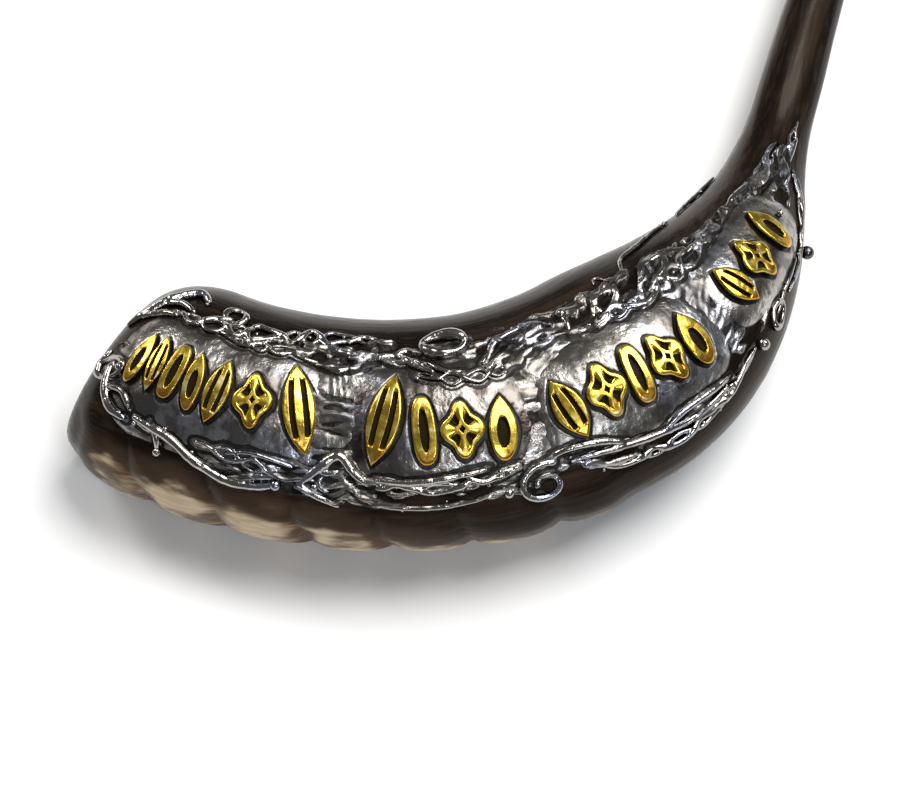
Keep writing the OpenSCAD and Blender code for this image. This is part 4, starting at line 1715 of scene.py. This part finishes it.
    def build_strands(self, finish: bpy.types.Material) -> None:
        """Build every strand with the finer ones that grow from it, the loops and the open curl.

        Args:
            finish: Material of the piece.
        """
        for seed, strand in enumerate(STRANDS):
            self.cast(strand.name, self.strand_routes(seed, strand), self.knot, finish)
        for loop in LOOPS:
            self.cast(loop.name, [self.loop_route(loop)], self.knot, finish)
        self.cast("vine_curl", [self.curl_route()], self.curl_knot, finish)

    def build_beads(self, finish: bpy.types.Material) -> None:
        """Build the beads, with small drops of metal along the strands between them.

        Args:
            finish: Material of the piece.
        """
        form, draw = self.plan.form, np.random.default_rng(self.drop_seed)
        rows = [(s, t, d / 2) for s, t, d in BEADS]
        for strand in STRANDS:
            path = self.route(strand.route)
            for s, t in path[draw.random(len(path)) < self.drop_share]:
                rows.append((s, t + draw.uniform(-1.6, 1.6) * float(form.degrees_per_mm(np.array(s))),
                             draw.uniform(0.35, 0.75)))
        places = np.array(rows)
        lift = self.plan.dome(places[:, 0], places[:, 1]) + 0.6 * places[:, 2]
        middles = form.point(places[:, 0], places[:, 1], lift)
        piece = self.beads.scatter("silver_drops", middles, places[:, 2])
        self.finish_piece(piece, [(middles, places[:, 2], False)], finish, Slot.SILVER, "vine_beads")

    def build_side_bead(self, finish: bpy.types.Material) -> None:
        """Build the dark bead on the outer curve.

        Args:
            finish: Material of the piece.
        """
        s, t, size = SIDE_BEAD
        middle = self.plan.form.point(np.array([s]), np.array([t]), np.array([0.3 * size]))
        radius = np.array([size / 2])
        piece = self.beads.scatter("dark_bead", middle, radius)
        self.finish_piece(piece, [(middle, radius, False)], finish, Slot.DARK_SILVER, "side_bead")


# ---------------------------------------------------------------- gold


@dataclass
class GoldOrnaments:
    """Chunky bevelled leaves, buds, petals and flowers with sunken hearts, their hearts and walls painted
    black, partly as blackening and partly as painted shade.
    """

    plan: ReliefPlan
    rows: int = 44
    sides: int = 132
    flat_share: float = 0.86
    round_share: float = 0.34
    pit_depth: float = 1.35
    foot_depth: float = 0.45

    def heart(self, place: OrnamentPlace, x: np.ndarray, y: np.ndarray, q: np.ndarray,
              a: np.ndarray) -> np.ndarray:
        """Return how deep the dark heart of an ornament goes.

        Args:
            place: The ornament.
            x: Position along the horn, as a share of the half width.
            y: Position across the horn, as a share of the half length.
            q: Distance from the middle, as a share of the outline.
            a: Direction in radians.

        Returns:
            Shares, 1 on the bottom of a pit.
        """
        if place.outline is Outline.LEAF:
            bow = 0.42 * np.sqrt(np.maximum(1 - y * y, 0))
            slit = 1 - smooth((np.abs(np.abs(x) - bow) - 0.10) / 0.09)
            return slit * smooth((0.66 - np.abs(y)) / 0.16)
        if place.outline is Outline.BUD:
            drop = np.hypot(x / 0.42, (y + 0.12) / 0.46)
            return 1 - smooth((drop - 0.8) / 0.3)
        if place.outline is Outline.FLOWER:
            pit = np.abs(np.sin(2 * a)) ** 3 * smooth((q - 0.3) / 0.1) * smooth((0.8 - q) / 0.1)
            return np.maximum(pit, 1 - smooth((q - 0.08) / 0.07))
        band = np.hypot(x / 0.38, y / 0.62)
        return 1 - smooth((band - 0.8) / 0.3)

    def build(self, finish: bpy.types.Material) -> None:
        """Build all ornaments and dress them."""
        for place in self.plan.ornaments:
            self.ornament(place, finish)

    def ornament(self, place: OrnamentPlace, finish: bpy.types.Material) -> None:
        """Build one ornament as a closed shell from its middle over its rim to its foot.

        Args:
            place: The ornament.
            finish: Material of the piece.
        """
        plan, form = self.plan, self.plan.form
        face = np.linspace(0.03, self.flat_share, self.rows)
        corner = np.linspace(0, math.pi / 2, 9)[1:]
        flat = self.flat_share
        q = np.concatenate([face, flat + (1 - flat) * np.sin(corner), [1.0, 1.0, 0.9, 0.5]])[:, None]
        rounding = self.round_share * (1 - np.cos(corner))
        drop = np.concatenate([np.zeros(len(face)), rounding, [0.7, 1.0, 1.0, 1.0]])[:, None]
        a = (np.arange(self.sides) * 2 * math.pi / self.sides)[None]
        edge = plan.outline_radius(place, a)
        x, y = -q * edge * np.sin(a), q * edge * np.cos(a)
        across, along = y * place.across_len / 2, x * place.width / 2
        lean = math.radians(place.lean)
        s = place.along + along * math.cos(lean) - across * math.sin(lean)
        turn = float(form.degrees_per_mm(np.array(place.along)))
        t = place.angle + (along * math.sin(lean) + across * math.cos(lean)) * turn
        on_face = np.arange(len(q))[:, None] < len(face) + len(corner)
        pit = self.heart(place, x, y, q, a) * on_face
        cast = 0.05 * pattern(s, t, 1.6, 3.0, 51, 2) * on_face
        height = plan.gold_h * (0.96 - drop) - self.pit_depth * pit + cast
        height = np.where(drop >= 1.0, -self.foot_depth, height)
        base = plan.dome(s, t)
        rings = form.point(s, t, base + height)
        # Walls painted black down to the foot: partly blackening, partly painted shade.
        wall = np.broadcast_to(smooth((drop - 0.3) / 0.3), s.shape)
        # tip marks the lower ends, which the finish paints amber as shade.
        shades = {"patina_and_shade": clamp01(smooth((pit - 0.12) / 0.45) + wall), "tip": smooth((-y - 0.1) / 0.8)}
        piece = tube_mesh(place.name + "_plate", rings, shades)
        dress(piece, finish, Slot.GOLD, place.name)


# ---------------------------------------------------------------- studio


@dataclass
class Studio:
    """Pale floor, soft lights and the camera."""

    form: HornForm
    elevation: float = 62.0
    distance: float = 966.0
    lens: float = 135.0
    aim_along: float = 97.0
    aim_right: float = 5.6
    aim_up: float = 9.0
    floor_half: float = 3.0
    floor_tone: float = 0.97

    def soft_light(self, name: str, place: tuple[float, float, float], size: float, power: float,
                   tint: tuple[float, float, float]) -> None:
        """Add a square soft light that faces the horn.

        Args:
            name: Name of the light.
            place: Where it hangs, in metres.
            size: Side of the square in metres.
            power: Power in watts.
            tint: Colour of the light.
        """
        lamp = bpy.data.lights.new(name, "AREA")
        lamp.size, lamp.energy, lamp.color = size, power, tint
        holder = bpy.data.objects.new(name, lamp)
        holder.location = place
        holder.rotation_euler = (-Vector(place)).to_track_quat("-Z", "Y").to_euler()
        bpy.context.scene.collection.objects.link(holder)

    def build(self) -> None:
        """Build the floor, the lights, the world and the camera."""
        scene = bpy.context.scene
        pale = bpy.data.materials.new("pale_floor")
        pale.use_nodes = True
        shader = pale.node_tree.nodes["Principled BSDF"]
        shader.inputs["Base Color"].default_value = (self.floor_tone, self.floor_tone, self.floor_tone, 1.0)
        shader.inputs["Roughness"].default_value = 0.9
        shader.inputs["Specular IOR Level"].default_value = 0.1
        h = self.floor_half / MM
        edge = np.array([[-h, -h, 0], [h, -h, 0], [h, h, 0], [-h, h, 0]])
        floor = build_mesh("floor", edge, [(0, 1, 2, 3)])
        floor.data.materials.append(pale)
        floor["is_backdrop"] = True
        self.soft_light("key_light", (0.85, 0.55, 2.1), 1.55, 61.0, (1.0, 0.99, 0.97))
        self.soft_light("left_light", (-0.75, 0.55, 0.75), 0.35, 4.5, (1.0, 0.98, 0.95))
        self.soft_light("front_light", (0.55, -1.20, 1.50), 0.36, 8.0, (0.84, 0.91, 1.0))
        world = bpy.data.worlds.new("studio")
        world.use_nodes = True
        world.node_tree.nodes["Background"].inputs["Color"].default_value = (1.0, 1.0, 1.0, 1.0)
        world.node_tree.nodes["Background"].inputs["Strength"].default_value = 0.15
        scene.world = world
        scene.view_settings.view_transform = "Standard"
        self.build_camera()

    def build_camera(self) -> None:
        """Put the camera at the viewing angle and aim it at the middle of the belly."""
        form = self.form
        s = np.array(self.aim_along)
        target = form.spine_point(s)
        target[2] = float(form.point(s, np.array(90.0))[2]) / 2
        e = math.radians(self.elevation)
        ahead, up = np.array([0.0, math.cos(e), -math.sin(e)]), np.array([0.0, math.sin(e), math.cos(e)])
        spot = target - ahead * self.distance + np.array([self.aim_right, 0.0, 0.0]) + up * self.aim_up
        lens = bpy.data.cameras.new("studio_camera")
        lens.lens, lens.sensor_width = self.lens, 36.0
        holder = bpy.data.objects.new("studio_camera", lens)
        holder.location = spot * MM
        holder.rotation_euler = (math.radians(90 - self.elevation), 0.0, 0.0)
        bpy.context.scene.collection.objects.link(holder)
        bpy.context.scene.camera = holder


def corners(box: tuple[Vector, Vector]) -> list[list[float]]:
    """Return a box as plain lists of numbers."""
    return [[float(x) for x in corner] for corner in box]


def main() -> None:
    """Build the horn, its silver and gold relief and the studio, in order."""
    logging.basicConfig(level=logging.INFO, format="%(name)s: %(message)s", stream=sys.stdout)
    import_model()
    cad_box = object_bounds()
    form = HornForm()
    form.place(*cad_box)
    plan = ReliefPlan(form)
    horn, gold = HornFinish().material(), GoldFinish().material()
    beaten = SilverFinish(name="beaten_silver", roughness=0.27).material()
    silver = SilverFinish(name="cast_silver", roughness=0.15, smudged=0.45).material()
    # The dark silver's bluish tint is a painted reflection too.
    dark = SilverFinish(name="dark_silver", bright=(0.16, 0.16, 0.18, 1.0),
                        cool_reflection=(0.1, 0.11, 0.15, 1.0)).material()
    HornBody(form).build(horn)
    vine = SilverVine(plan, StrandTree(silver), BeadTree(silver))
    plan.follow_strands(vine.middles())
    SilverGround(plan).build(beaten)
    SilverFields(plan).build(beaten)
    vine.build_strands(silver)
    vine.build_beads(silver)
    vine.build_side_bead(dark)
    GoldOrnaments(plan).build(gold)
    Studio(form).build()


if __name__ == "__main__":
    main()
